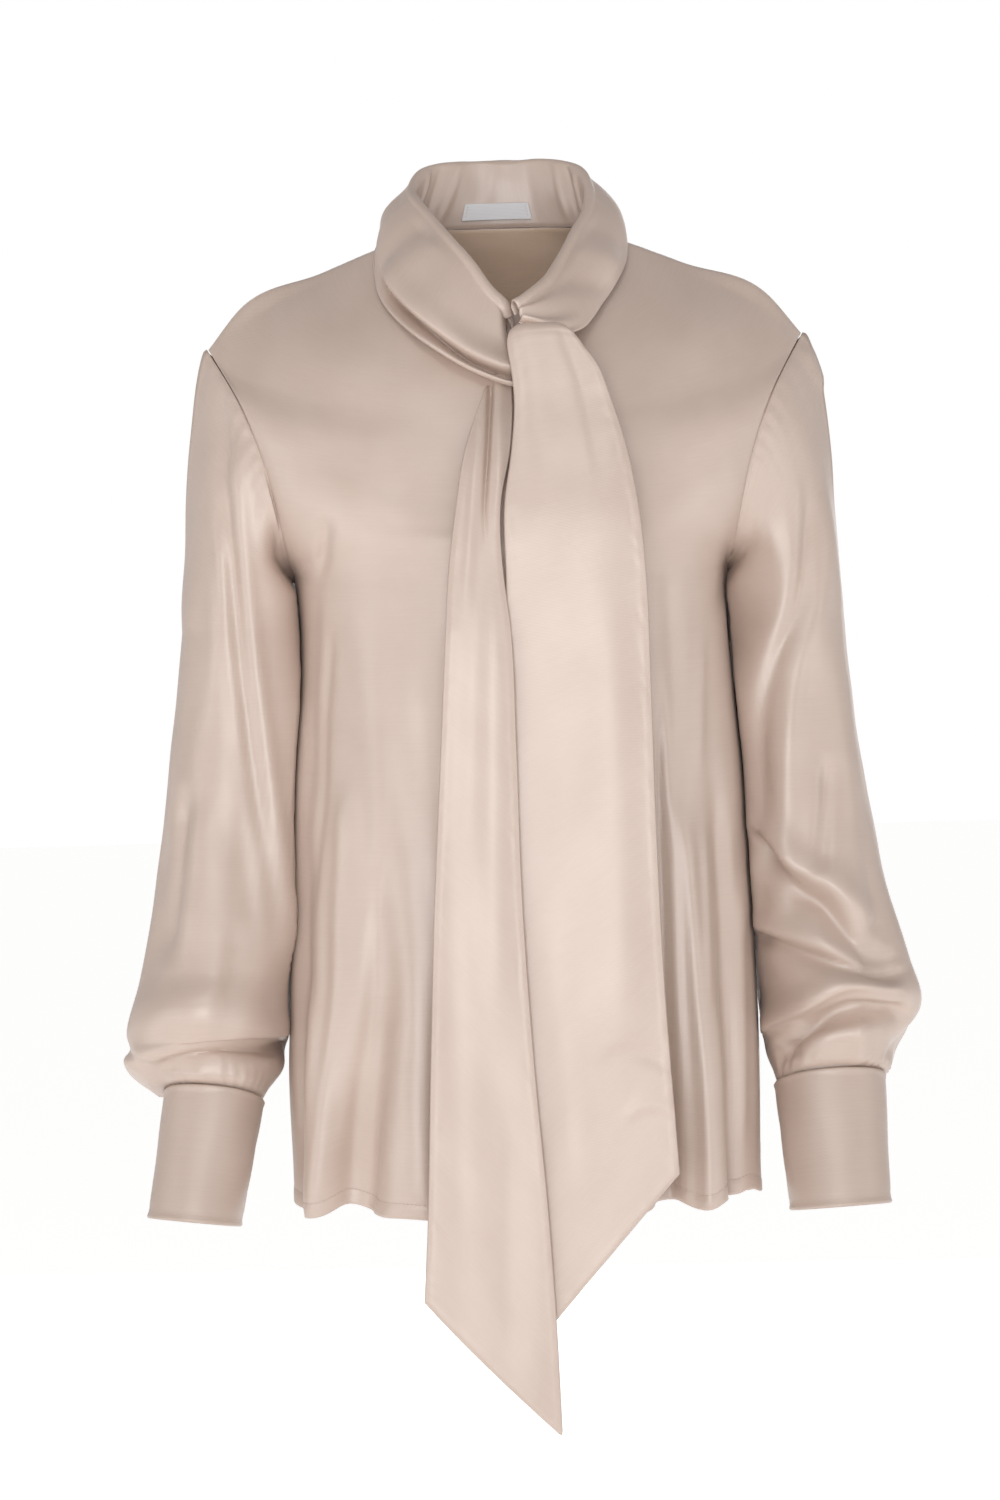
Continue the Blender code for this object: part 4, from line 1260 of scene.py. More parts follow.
@dataclass
class NeckBand:
    """The band sewn round the neckline and rolled over into a soft collar.

    "round" is 0 at the back of the neck, -1 and 1 at the front ends. "s" runs from 0 at the seam over 1 at
    the top of the stand and 2 after the roll to 3 at the outer edge.
    """

    form: BodyForm
    cut: tuple
    stations: tuple = (
        BandStation(-1.06, 0.005, -0.087, -0.060, 0.014, -0.103, -0.104),
        BandStation(-1.00, 0.001, -0.089, -0.050, 0.003, -0.107, -0.109),
        BandStation(-0.96, -0.007, -0.086, -0.042, -0.017, -0.104, -0.101),
        BandStation(-0.88, -0.020, -0.073, -0.021, -0.050, -0.090, -0.080),
        BandStation(-0.79, -0.034, -0.054, -0.002, -0.073, -0.066, -0.059),
        BandStation(-0.70, -0.045, -0.033, 0.013, -0.085, -0.044, -0.040),
        BandStation(-0.60, -0.055, -0.012, 0.027, -0.088, -0.020, -0.020),
        BandStation(-0.50, -0.0605, 0.010, 0.039, -0.085, 0.008, 0.003),
        BandStation(-0.36, -0.053, 0.037, 0.055, -0.068, 0.050, 0.008),
        BandStation(-0.20, -0.030, 0.052, 0.0605, -0.040, 0.072, 0.009),
        BandStation(0.00, 0.000, 0.057, 0.061, 0.000, 0.080, 0.008),
        BandStation(0.20, 0.030, 0.052, 0.0605, 0.040, 0.072, 0.009),
        BandStation(0.36, 0.053, 0.037, 0.055, 0.068, 0.050, 0.008),
        BandStation(0.50, 0.0605, 0.010, 0.037, 0.085, 0.008, 0.003),
        BandStation(0.60, 0.0570, -0.014, 0.018, 0.086, -0.020, -0.015),
        BandStation(0.70, 0.0480, -0.036, 0.002, 0.080, -0.044, -0.031),
        BandStation(0.80, 0.0380, -0.058, -0.018, 0.068, -0.068, -0.050),
        BandStation(0.88, 0.0290, -0.077, -0.034, 0.052, -0.095, -0.070),
        BandStation(0.95, 0.0160, -0.092, -0.045, 0.030, -0.104, -0.073),
        BandStation(1.00, 0.0070, -0.097, -0.050, 0.010, -0.106, -0.066),
    )
    stand_dents: tuple = (
        (-0.40, 0.0022, 0.020), (-0.31, -0.0014, 0.024), (-0.22, 0.0012, 0.018), (-0.06, 0.0008, 0.030),
        (0.10, -0.0008, 0.026), (0.24, 0.0018, 0.016), (0.31, -0.0018, 0.018), (0.37, 0.0026, 0.018),
        (0.47, -0.0016, 0.022),
    )
    sewn_to: float = 0.84
    base_lift: float = 0.0012
    base_drop: float = 0.010
    base_back: float = 0.006
    roll: float = 0.0042
    bulge: float = 0.007
    lying_gap: float = 0.0008
    thickness: float = 0.0014
    steps: int = 220
    stand_steps: int = 14
    roll_steps: int = 10
    fall_steps: int = 54

    def fold_points(self, around: Array) -> Array:
        """The top of the roll at each station."""
        names = ("fold_x", "fold_y", "fold_z")
        return np.stack([column(self.stations, "round", name, around) for name in names], -1)

    def sections(self, around: Array) -> tuple:
        """Sections of the band: a straight stand, a half circle and a bulging fall.

        Args:
            around: the stations' round values.

        Returns:
            The points (stations, section points, 3) and each column's s.
        """
        fold = self.fold_points(around)
        names = ("edge_x", "edge_y", "edge_z")
        edge = np.stack([column(self.stations, "round", name, around) for name in names], -1)
        sewn = self.form.neckline(around) + np.array([0.0, 0.0, self.base_lift])
        loose = fold + np.array([0.0, self.base_back, -self.base_drop])
        free = ease((np.abs(around) - self.sewn_to) / (1 - self.sewn_to))[:, None]
        base = sewn + (loose - sewn) * free
        along = unit(self.fold_points(around + 0.03) - self.fold_points(around - 0.03))
        rise = fold - base
        rise = unit(rise - along * (rise * along).sum(-1, keepdims=True))
        apart = np.cross(along, rise)
        apart = apart * np.sign((apart * (edge - base)).sum(-1, keepdims=True))
        centre = fold - rise * self.roll
        top = centre - apart * self.roll
        t = np.linspace(0, 1, self.stand_steps + 1)[None, :-1, None]
        stand = base[:, None] + (top - base)[:, None] * t - apart[:, None] * 0.0012 * np.sin(np.pi * t)
        turn = np.linspace(0, np.pi, self.roll_steps + 1)[None, :-1, None]
        rolled = centre[:, None] + self.roll * (rise[:, None] * np.sin(turn) - apart[:, None] * np.cos(turn))
        over = (centre + apart * self.roll)[:, None]
        u = np.linspace(0, 1, self.fall_steps + 1)[None, :, None]
        bulge = self.bulge * np.sin(np.pi * u) * (1 - 0.5 * free[:, None])
        fall = over + (edge[:, None] - over) * u + apart[:, None] * bulge
        s = np.concatenate([t[0, :, 0], 1 + turn[0, :, 0] / np.pi, 2 + u[0, :, 0]])
        return np.concatenate([stand, rolled, fall], axis=1), s

    def folds(self, around: Array, s: Array) -> Array:
        """Works out the collar's own folds, as bells over round or over u, the place down the fall.

        On the right end a ridge and the trough under it sweep down to the crossing, so that the lower edge
        shows as a second layer. On the left end small gathers run back from the crossing.

        Args:
            around: the stations' round values.
            s: each column's s.

        Returns:
            Heights, (stations, section points).
        """
        around = around[:, None]
        u = np.clip(s[None, :] - 2, 0, 1)
        fall = ease(u / 0.15)
        grow = ease((-around - 0.62) / 0.20)
        over = u - (0.72 + 0.02 * grow)
        ridge = 0.0050 * np.exp(-((over / np.where(over < 0, 0.20, 0.060)) ** 2))
        under = u - (0.835 + 0.01 * grow)
        trough = -0.0100 * np.exp(-((under / np.where(under < 0, 0.030, 0.045)) ** 2))
        strip = 0.0036 * np.exp(-(((u - 0.955) / 0.035) ** 2))
        right = (ridge + trough + strip) * grow * fall
        soft = 0.0022 * np.exp(-(((around + 0.80 - 0.10 * u) / 0.045) ** 2))
        soft -= 0.0026 * np.exp(-(((around + 0.70 - 0.06 * u) / 0.040) ** 2))
        soft -= 0.0016 * np.exp(-(((around + 0.52) / 0.030) ** 2))
        soft -= 0.0024 * np.exp(-(((around - 0.66 + 0.05 * u) / 0.045) ** 2))
        soft += 0.0024 * np.exp(-(((around - 0.77 + 0.07 * u) / 0.040) ** 2))
        soft -= 0.0020 * np.exp(-(((around - 0.86 + 0.09 * u) / 0.028) ** 2))
        near = ease((around - 0.86) / 0.10)
        near = near * ease(u / 0.1) * ease((1 - u) / 0.25)
        gather = 0.0026 * np.sin(3.6 * np.pi * u + 14 * (around - 0.9)) * near
        back = 0.0010 * np.sin(around * 31 + 2 * u) * ease((0.5 - np.abs(around)) / 0.1)
        stand = ease(s[None, :] / 0.3) * ease((1.25 - s[None, :]) / 0.5)
        dents = sum((depth * np.exp(-(((around - place - 0.03 * s[None, :]) / width) ** 2))
                     for place, depth, width in self.stand_dents), np.zeros(np.broadcast(around, u).shape))
        return right + (soft * ease((1.02 - u) / 0.3) + gather + back) * fall + dents * stand

    def build(self, satin: bpy.types.Material, surface: Array, surface_normals: Array) -> bpy.types.Object:
        """Builds the band, lying clear of the shoulders and the chest.

        Args:
            satin: its finish.
            surface: points of the body.
            surface_normals: their normals.

        Returns:
            The band.
        """
        stations = np.linspace(self.stations[0].round, self.stations[-1].round, self.steps + 1)
        grid, s = self.sections(stations)
        middle = self.steps // 2
        shell = Shell("neck_band", grid, self.thickness, (middle, grid.shape[1] - 3, (0, 1, 0)))
        normals = shell.normals()
        height = self.folds(stations, s)
        drift = unevenness(stations[:, None] * 0.25, s[None, :] * 0.04, 0.040, 5) * 0.0005
        edge = ease((s[None, :]) / 0.15) * ease((3 - s[None, :]) / 0.06)
        moved = grid + normals * (height + drift * edge)[..., None]
        first = self.stand_steps + self.roll_steps
        clear = self.thickness + self.lying_gap
        moved[:, first:] = pushed_clear(moved[:, first:], surface, surface_normals, clear)
        shell.points = moved
        obj = placed(shell.build((satin, satin)), "satin", "neck_band")
        return obj


@dataclass
class TieEnd:
    """A doubled tie end that hangs from the crossing, with a slanting foot."""

    name: str
    table: tuple
    corners: tuple
    creases: tuple
    cut: tuple
    seed: int
    arch: float = 0.0
    bow: float = 0.003
    thickness: float = 0.0018
    clear: float = 0.0030
    ripple: float = 0.00012
    edge_ridge: float = 0.00022
    columns: int = 56
    rows: int = 240

    def build(self, satin: bpy.types.Material, surface: Array, surface_normals: Array) -> bpy.types.Object:
        """Builds the tie end: rows between its two side edges, bowed forward, clear of the body.

        Args:
            satin: its finish.
            surface: points of the body.
            surface_normals: their normals.

        Returns:
            The tie end.
        """
        across = np.linspace(0, 1, self.columns + 1)
        across = 0.5 * (across + 0.5 - 0.5 * np.cos(np.pi * across))[None, :]
        t = np.linspace(0, 1, self.rows + 1)[:, None]
        top = self.table[0].height
        heights = top + (self.corners[0] + (self.corners[1] - self.corners[0]) * across - top) * t
        right, left, fore = (column(tuple(reversed(self.table)), "height", name, heights)
                             for name in ("right", "left", "fore"))
        x = right + (left - right) * across
        y = -fore - self.bow * ease(4 * t) * (1 - (2 * across - 1) ** 2)
        heights = heights - self.arch * (2 * across - 1) ** 4 * (1 - ease(t * 14))
        grid = pushed_clear(np.stack([x, y, heights], axis=-1), surface, surface_normals, self.clear)
        shell = Shell(self.name, grid, self.thickness, (self.rows // 2, self.columns // 2, (0, -1, 0)))
        normals = shell.normals()
        run = lengths(grid, 1)
        edge = np.minimum(np.minimum(run, run[:, -1:] - run), (lengths(grid, 0)[-1:] - lengths(grid, 0)))
        down = lengths(grid, 0)
        moved = creased(grid, normals, self.creases, np.ones(grid.shape[:2]))
        drift = unevenness(grid[..., 0], heights * 0.35, 0.050, self.seed) * 0.0007
        ripple = self.ripple * np.sin(down / 0.0037 + 5 * unevenness(run, down, 0.05, self.seed + 3))
        ripple = ripple * np.exp(-((edge - 0.005) / 0.004) ** 2) * ease(edge / 0.003)
        seam = self.edge_ridge * np.exp(-((edge - 0.0035) / 0.0022) ** 2)
        moved = moved + normals * (drift + ripple + seam)[..., None]
        shell.points = moved
        obj = placed(shell.build((satin, satin)), "satin", self.name)
        return obj


@dataclass(frozen=True)
class Knot:
    """The gathered crossing behind the head of the over tie: a flattened bundle with pleats across it."""

    middle: tuple = (0.031, -0.0996, -0.090)
    half_sizes: tuple = (0.012, 0.0045, 0.013)
    lean: float = 0.55
    pleats: int = 5
    pleat_depth: float = 0.06
    rows: int = 40
    columns: int = 90

    def build(self, satin: bpy.types.Material) -> bpy.types.Object:
        """Builds the bundle: an ellipsoid whose section is a circle with shallow waves, leaning.

        Args:
            satin: its finish.

        Returns:
            The bundle.
        """
        latitude = np.linspace(-0.5 * np.pi, 0.5 * np.pi, self.rows + 2)[1:-1][:, None]
        angles = (2 * np.pi * np.arange(self.columns) / self.columns)[None, :]
        pleat = 1 + self.pleat_depth * np.cos(self.pleats * angles) * np.cos(latitude)
        x = np.broadcast_to(np.sin(latitude), pleat.shape) * self.half_sizes[0]
        y = np.cos(latitude) * np.cos(angles) * pleat * self.half_sizes[1]
        z = np.cos(latitude) * np.sin(angles) * pleat * self.half_sizes[2]
        grid = np.stack([x, y + self.lean * z, z], axis=-1) + np.array(self.middle)
        ends = np.stack([grid[0].mean(axis=0), grid[-1].mean(axis=0)])
        count = self.columns
        ring = np.arange(count)
        nxt = (ring + 1) % count
        quads = tube_quads(self.rows, count)
        last = (self.rows - 1) * count
        total = self.rows * count
        low = np.stack([nxt, ring, np.full(count, total)], axis=1)
        high = np.stack([last + ring, last + nxt, np.full(count, total + 1)], axis=1)
        points = np.concatenate([grid.reshape(-1, 3), ends])
        faces = quads.tolist() + low.tolist() + high.tolist()
        mesh = bpy.data.meshes.new("tie_knot")
        mesh.from_pydata(points.tolist(), [], faces)
        layer = mesh.uv_layers.new(name="cloth")
        corners = np.array([vertex for face in faces for vertex in face])
        layer.data.foreach_set("uv", points[corners][:, [0, 2]].astype(np.float32).ravel())
        mesh.materials.append(satin)
        return placed(linked("crossing", mesh), "satin", "tie_knot")


@dataclass(frozen=True)
class NeckLabel:
    """A bare woven label on the inside of the stand, sewn at its two ends."""

    band: NeckBand
    right: float = -0.0290
    left: float = 0.0230
    low: float = 0.12
    high: float = 0.38
    lift: float = 0.0012
    thickness: float = 0.0005
    cut: tuple = (0.052, 0.0150)

    def build(self, tape: bpy.types.Material, thread: bpy.types.Material) -> bpy.types.Object:
        """Builds the label from the stand's points moved in, bowed off it a little between its ends.

        Args:
            tape: its finish.
            thread: the stitches' finish.

        Returns:
            The label.
        """
        stations = np.linspace(-0.3, 0.3, 61)
        places = self.band.form.neckline(stations)[:, 0]
        x = np.linspace(self.right, self.left, 49)
        around = np.interp(x, places, stations)
        section, _ = self.band.sections(around)
        base = section[:, 0]
        top = section[:, self.band.stand_steps]
        levels = np.linspace(self.low, self.high, 17)[:, None, None]
        grid = base[None] + (top - base)[None] * levels
        shell = Shell("label", grid, self.thickness, (8, 24, (0, -1, 0)))
        normals = shell.normals()
        share = (x - self.right) / (self.left - self.right)
        bow = (0.0020 * 4 * share * (1 - share) + 0.0004 * np.sin(x / 0.008))[None, :]
        shell.points = grid + normals * (self.lift + self.thickness + bow)[..., None]
        obj = placed(shell.build((tape, tape)), "label_weave", "label")
        ends = [StitchRow(f"label_stitches_{number}", shell.points[1:-1, place], normals[1:-1, place],
                          pitch=0.0022, length=0.0016, radius=0.00016).build(thread)
                for number, place in ((1, 2), (2, -3))]
        return obj


@dataclass(frozen=True)
class ThreadLoop:
    """The thread loop that hangs across the top of the slit: a sagging tube with a two-ply twist."""

    half_span: float = 0.0035
    fore: float = 0.0787
    height: float = -0.0535
    sag: float = 0.0030
    radius: float = 0.0006
    twists: float = 5.0

    def build(self, thread: bpy.types.Material) -> bpy.types.Object:
        """Builds the loop: a parabola carries a ring whose radius waves twice round and turns along the way.

        Args:
            thread: its finish.

        Returns:
            The loop.
        """
        t = np.linspace(-1, 1, 49)[:, None]
        turns = (2 * np.pi * np.arange(14) / 14)[None, :]
        middle = np.stack([t * self.half_span, np.full_like(t, -self.fore),
                           self.height - self.sag * (1 - t * t)], axis=-1)
        slope = 2 * self.sag * t / self.half_span
        size = np.sqrt(1 + slope**2)
        lift = np.stack([-slope / size, np.zeros_like(t), 1 / size], axis=-1)
        ply = self.radius * (0.82 + 0.18 * np.cos(2 * (turns + np.pi * self.twists * t)))
        ring = np.cos(turns)[..., None] * lift + np.sin(turns)[..., None] * np.array([0.0, 1.0, 0.0])
        grid = middle + ply[..., None] * ring
        rows, count = grid.shape[:2]
        caps = [list(range(count)), list(range(rows * count - 1, (rows - 1) * count - 1, -1))]
        faces = tube_quads(rows, count)[:, ::-1].tolist() + caps
        mesh = bpy.data.meshes.new("neck_loop")
        mesh.from_pydata(grid.reshape(-1, 3).tolist(), [], faces)
        mesh.materials.append(thread)
        return placed(linked("thread_loop", mesh), "thread", "neck_loop")


@dataclass(frozen=True)
class Softbox:
    """A large soft light: where it stands, what it looks at, its size and its power."""

    name: str
    place: tuple
    target: tuple
    size: float
    power: float

    def build(self) -> None:
        """Adds the light, turned to its target."""
        data = bpy.data.lights.new(self.name, "AREA")
        data.energy = self.power
        data.size = self.size
        lamp = bpy.data.objects.new(self.name, data)
        bpy.context.scene.collection.objects.link(lamp)
        way = Vector(self.target) - Vector(self.place)
        turned = way.to_track_quat("-Z", "Y").to_matrix().to_4x4()
        lamp.matrix_world = Matrix.Translation(self.place) @ turned


@dataclass(frozen=True)
class Studio:
    """The camera at the photograph's angle and roll, soft lights and a plain pale floor."""

    lens: float = 36 * 3.6 / 1.035
    roll: float = -0.029
    place: tuple = (-0.0114, -3.6, -0.352)
    floor_height: float = -1.05
    boxes: tuple = (
        Softbox("front_low", (-0.2, -3.4, -0.22), (0, 0, -0.45), 1.6, 33),
        Softbox("front_left", (-2.8, -1.4, -0.3), (0, 0, -0.35), 1.8, 12),
        Softbox("front_right", (2.8, -1.4, -0.3), (0, 0, -0.35), 1.8, 8),
        Softbox("front_high", (0.0, -2.6, 1.6), (0, 0, -0.05), 1.0, 12),
        Softbox("rear", (0.4, 3.2, 0.2), (0, 0, -0.3), 2.2, 26),
    )
    floor_glow: float = 0.60
    horizon: float = 0.60
    zenith: float = 0.35
    backdrop: float = 1.0

    def build(self) -> None:
        """Builds the camera, world, lights and floor."""
        scene = bpy.context.scene
        data = bpy.data.cameras.new("camera")
        data.lens = self.lens
        data.sensor_width = 36
        camera = bpy.data.objects.new("camera", data)
        scene.collection.objects.link(camera)
        upright = Matrix.Rotation(math.radians(90), 4, "X")
        camera.matrix_world = Matrix.Translation(self.place) @ upright @ Matrix.Rotation(self.roll, 4, "Z")
        scene.camera = camera
        scene.view_settings.view_transform = "Standard"
        scene.world = self.surround()
        for box in self.boxes:
            box.build()
        self.floor()

    def surround(self) -> bpy.types.World:
        """Makes white studio walls, whose light falls from the horizon's to the zenith's.

        The camera sees them as the plain backdrop.

        Returns:
            The world.
        """
        world = bpy.data.worlds.new("studio")
        world.use_nodes = True
        tree = world.node_tree
        place = add_node(tree, "ShaderNodeTexCoord").outputs["Generated"]
        way = add_node(tree, "ShaderNodeSeparateXYZ", Vector=place)
        light = add_node(tree, "ShaderNodeMapRange", {"From Min": 0.0, "From Max": 0.9,
                                                      "To Min": self.horizon, "To Max": self.zenith},
                         Value=way.outputs["Z"])
        seen = add_node(tree, "ShaderNodeMapRange", {"To Max": self.backdrop},
                        Value=add_node(tree, "ShaderNodeLightPath").outputs["Is Camera Ray"],
                        To_Min=light.outputs["Result"])
        background = tree.nodes["Background"]
        background.inputs["Color"].default_value = linear("#FFFFFF")
        tree.links.new(seen.outputs["Result"], background.inputs["Strength"])
        return world

    def floor(self) -> None:
        """A wide round floor of pale paint, lit a little from beneath as a light table is."""
        turns = 2 * np.pi * np.arange(64) / 64
        rings = [0.0, 2.0, 40.0]
        points = [(0.0, 0.0, self.floor_height)]
        for radius in rings[1:]:
            points += np.stack([radius * np.cos(turns), radius * np.sin(turns),
                                np.full(64, self.floor_height)], axis=1).tolist()
        near = [(0, 1 + k, 1 + (k + 1) % 64) for k in range(64)]
        far = [(1 + k, 65 + k, 65 + (k + 1) % 64, 1 + (k + 1) % 64) for k in range(64)]
        mesh = bpy.data.meshes.new("floor")
        mesh.from_pydata(points, [], near + far)
        material = bpy.data.materials.new("pale_floor_paint")
        material.use_nodes = True
        tree = material.node_tree
        shader = tree.nodes["Principled BSDF"]
        grain = add_node(tree, "ShaderNodeTexNoise", {"Scale": 40.0, "Detail": 3.0},
                         Vector=add_node(tree, "ShaderNodeTexCoord").outputs["Object"])
        bump = add_node(tree, "ShaderNodeBump", {"Strength": 0.05, "Distance": 0.001},
                        Height=grain.outputs["Fac"])
        tree.links.new(bump.outputs["Normal"], shader.inputs["Normal"])
        shader.inputs["Base Color"].default_value = linear("#F4F3F1")
        shader.inputs["Roughness"].default_value = 0.9
        shader.inputs["Emission Color"].default_value = linear("#FFFFFF")
        shader.inputs["Emission Strength"].default_value = self.floor_glow
        mesh.materials.append(material)
        floor = bpy.data.objects.new("floor", mesh)
        bpy.context.scene.collection.objects.link(floor)


FRONT_CREASES = (
    Crease(Run.DOWN, ((-116, -382), (-121, -449), (-125, -516), (-135, -582), (-146, -660)), 4.5, 7, 9),
    Crease(Run.DOWN, ((-84, -400), (-95, -450), (-101, -516), (-112, -582), (-122, -670)),
           -5.5, 7, 20, (150, 20)),
    Crease(Run.DOWN, ((-124, -275), (-130, -329), (-133, -382), (-142, -448), (-145, -515)), -2.6, 3.5, 4.5),
    Crease(Run.DOWN, ((-145, -315), (-150, -415), (-155, -515), (-155, -615)), 2.0, 4, 4),
    Crease(Run.DOWN, ((97, -330), (97, -397), (97, -455), (96, -522), (96, -589), (95, -680)),
           -8.0, 9, 4, (80, 10)),
    Crease(Run.DOWN, ((110, -402), (113, -456), (116, -523), (120, -589), (120, -670)), 5.0, 5, 7, (60, 20)),
    Crease(Run.DOWN, ((134, -403), (136, -456), (136, -523), (138, -590), (138, -670)),
           -3.6, 5, 4.5, (60, 20)),
    Crease(Run.DOWN, ((149, -457), (147, -523), (145, -624)), 2.2, 4, 4),
    Crease(Run.DOWN, ((127, -283), (122, -360)), 2.0, 4, 4),
    Crease(Run.DOWN, ((125, -416), (124, -523)), 1.6, 3, 3),
    Crease(Run.DOWN, ((-125, -196), (-129, -228)), -3.0, 4, 6, (16, 22)),
    Crease(Run.DOWN, ((153, -212), (149, -230), (143, -258)), -3.0, 6, 4, (16, 22)),
    Crease(Run.DOWN, ((-98, -250), (-92, -360), (-78, -480), (-74, -660)), 3.6, 15, 13, (100, 30)),
    Crease(Run.DOWN, ((-60, -300), (-58, -420), (-52, -560), (-50, -660)), -2.6, 12, 10, (100, 30)),
    Crease(Run.DOWN, ((106, -240), (108, -330), (106, -400)), -2.6, 7, 7, (70, 60)),
    Crease(Run.DOWN, ((-134, -240), (-138, -300), (-140, -380)), -2.0, 5, 6, (50, 60)),
    Crease(Run.DOWN, ((138, -250), (142, -340), (146, -450)), 2.2, 8, 7, (50, 90)),
    Crease(Run.ACROSS, ((-120, -150), (-70, -176), (-30, -190)), -1.0, 12, 16, (60, 50)),
    Crease(Run.ACROSS, ((96, -186), (122, -170), (150, -150)), -1.0, 12, 14, (40, 40)),
)

FRONT_HEM_LIFTS = ((-122, 9.0, 15), (-90, 3.0, 24), (95, 8.0, 14), (134, 6.0, 9), (150, 8.0, 9))
BACK_HEM_LIFTS = ((-110, 5.0, 18), (-44, 4.0, 16), (58, 5.0, 14), (128, 6.0, 16))

BACK_CREASES = (
    Crease(Run.DOWN, ((-128, -210), (-132, -300), (-136, -420)), -1.8, 6, 9, (40, 80)),
    Crease(Run.DOWN, ((126, -205), (130, -310), (133, -430)), -1.8, 9, 6, (40, 80)),
    Crease(Run.DOWN, ((-92, -240), (-96, -380), (-104, -560)), 2.2, 14, 16, (90, 90)),
    Crease(Run.DOWN, ((-44, -300), (-50, -420), (-56, -600)), -2.4, 12, 10, (90, 60)),
    Crease(Run.DOWN, ((10, -260), (6, -420), (4, -620)), 1.8, 12, 14, (90, 60)),
    Crease(Run.DOWN, ((58, -280), (62, -430), (66, -610)), -2.2, 9, 12, (90, 60)),
    Crease(Run.DOWN, ((104, -300), (108, -440), (112, -600)), 2.4, 8, 11, (90, 60)),
    Crease(Run.ACROSS, ((-120, -96), (0, -84), (118, -98)), 0.9, 16, 22, (80, 80)),
)

RIGHT_SLEEVE_CREASES = (
    Crease(Run.DOWN, ((-183, -150), (-181, -211), (-177, -278), (-171, -336), (-161, -431), (-157, -470)),
           5.0,
           10, 6, (50, 50), Facing.FRONT),
    Crease(Run.DOWN, ((-198, -200), (-191, -287), (-180, -393), (-175, -470)),
           2.4, 5, 5, (50, 50), Facing.FRONT),
    Crease(Run.DOWN, ((-196, -112), (-191, -200), (-185, -300), (-176, -400)),
           -5.0, 6, 6, (50, 60), Facing.FRONT),
    Crease(Run.DOWN, ((-216, -190), (-213, -290), (-206, -400)), -1.6, 9, 9, (60, 60), Facing.FRONT),
    Crease(Run.DOWN, ((-228, -380), (-235, -430), (-243, -480)), -6.5, 5, 8, (30, 30), Facing.FRONT),
    Crease(Run.DOWN, ((-214, -300), (-219, -380), (-228, -480)), 2.4, 9, 9, (60, 60), Facing.FRONT),
    Crease(Run.DOWN, ((-194, -470), (-197, -505), (-203, -530)), -2.2, 7, 9, (24, 20), Facing.FRONT),
    Crease(Run.ACROSS, ((-250, -560), (-223, -551), (-201, -547), (-179, -548), (-156, -550)), -9.0, 9, 3.2,
           (14, 10), Facing.FRONT),
    Crease(Run.ACROSS, ((-264, -546), (-223, -535), (-190, -532), (-156, -534)), 5.5, 8, 14, (20, 12),
           Facing.FRONT, 6.0),
    Crease(Run.ACROSS, ((-236, -572), (-206, -568), (-184, -569)), 2.0, 5, 6, (16, 16), Facing.FRONT),
    Crease(Run.ACROSS, ((-278, -545), (-262, -556), (-246, -572)), -4.0, 5, 6, (10, 12)),
    Crease(Run.DOWN, ((-206, -130), (-212, -240), (-222, -380)), -3.4, 8, 8, (60, 80), Facing.BACK),
    Crease(Run.DOWN, ((-180, -200), (-186, -330), (-196, -480)), 3.6, 8, 9, (60, 60), Facing.BACK),
    Crease(Run.ACROSS, ((-258, -520), (-220, -508), (-180, -514)), -5.0, 9, 6, (24, 24), Facing.BACK),
    Crease(Run.ACROSS, ((-256, -496), (-224, -488), (-190, -482)), 4.0, 8, 10, (24, 24), Facing.BACK, 3.0),
    Crease(Run.ACROSS, ((-252, -440), (-226, -428), (-198, -432)), -2.6, 9, 7, (24, 24), Facing.BACK),
)

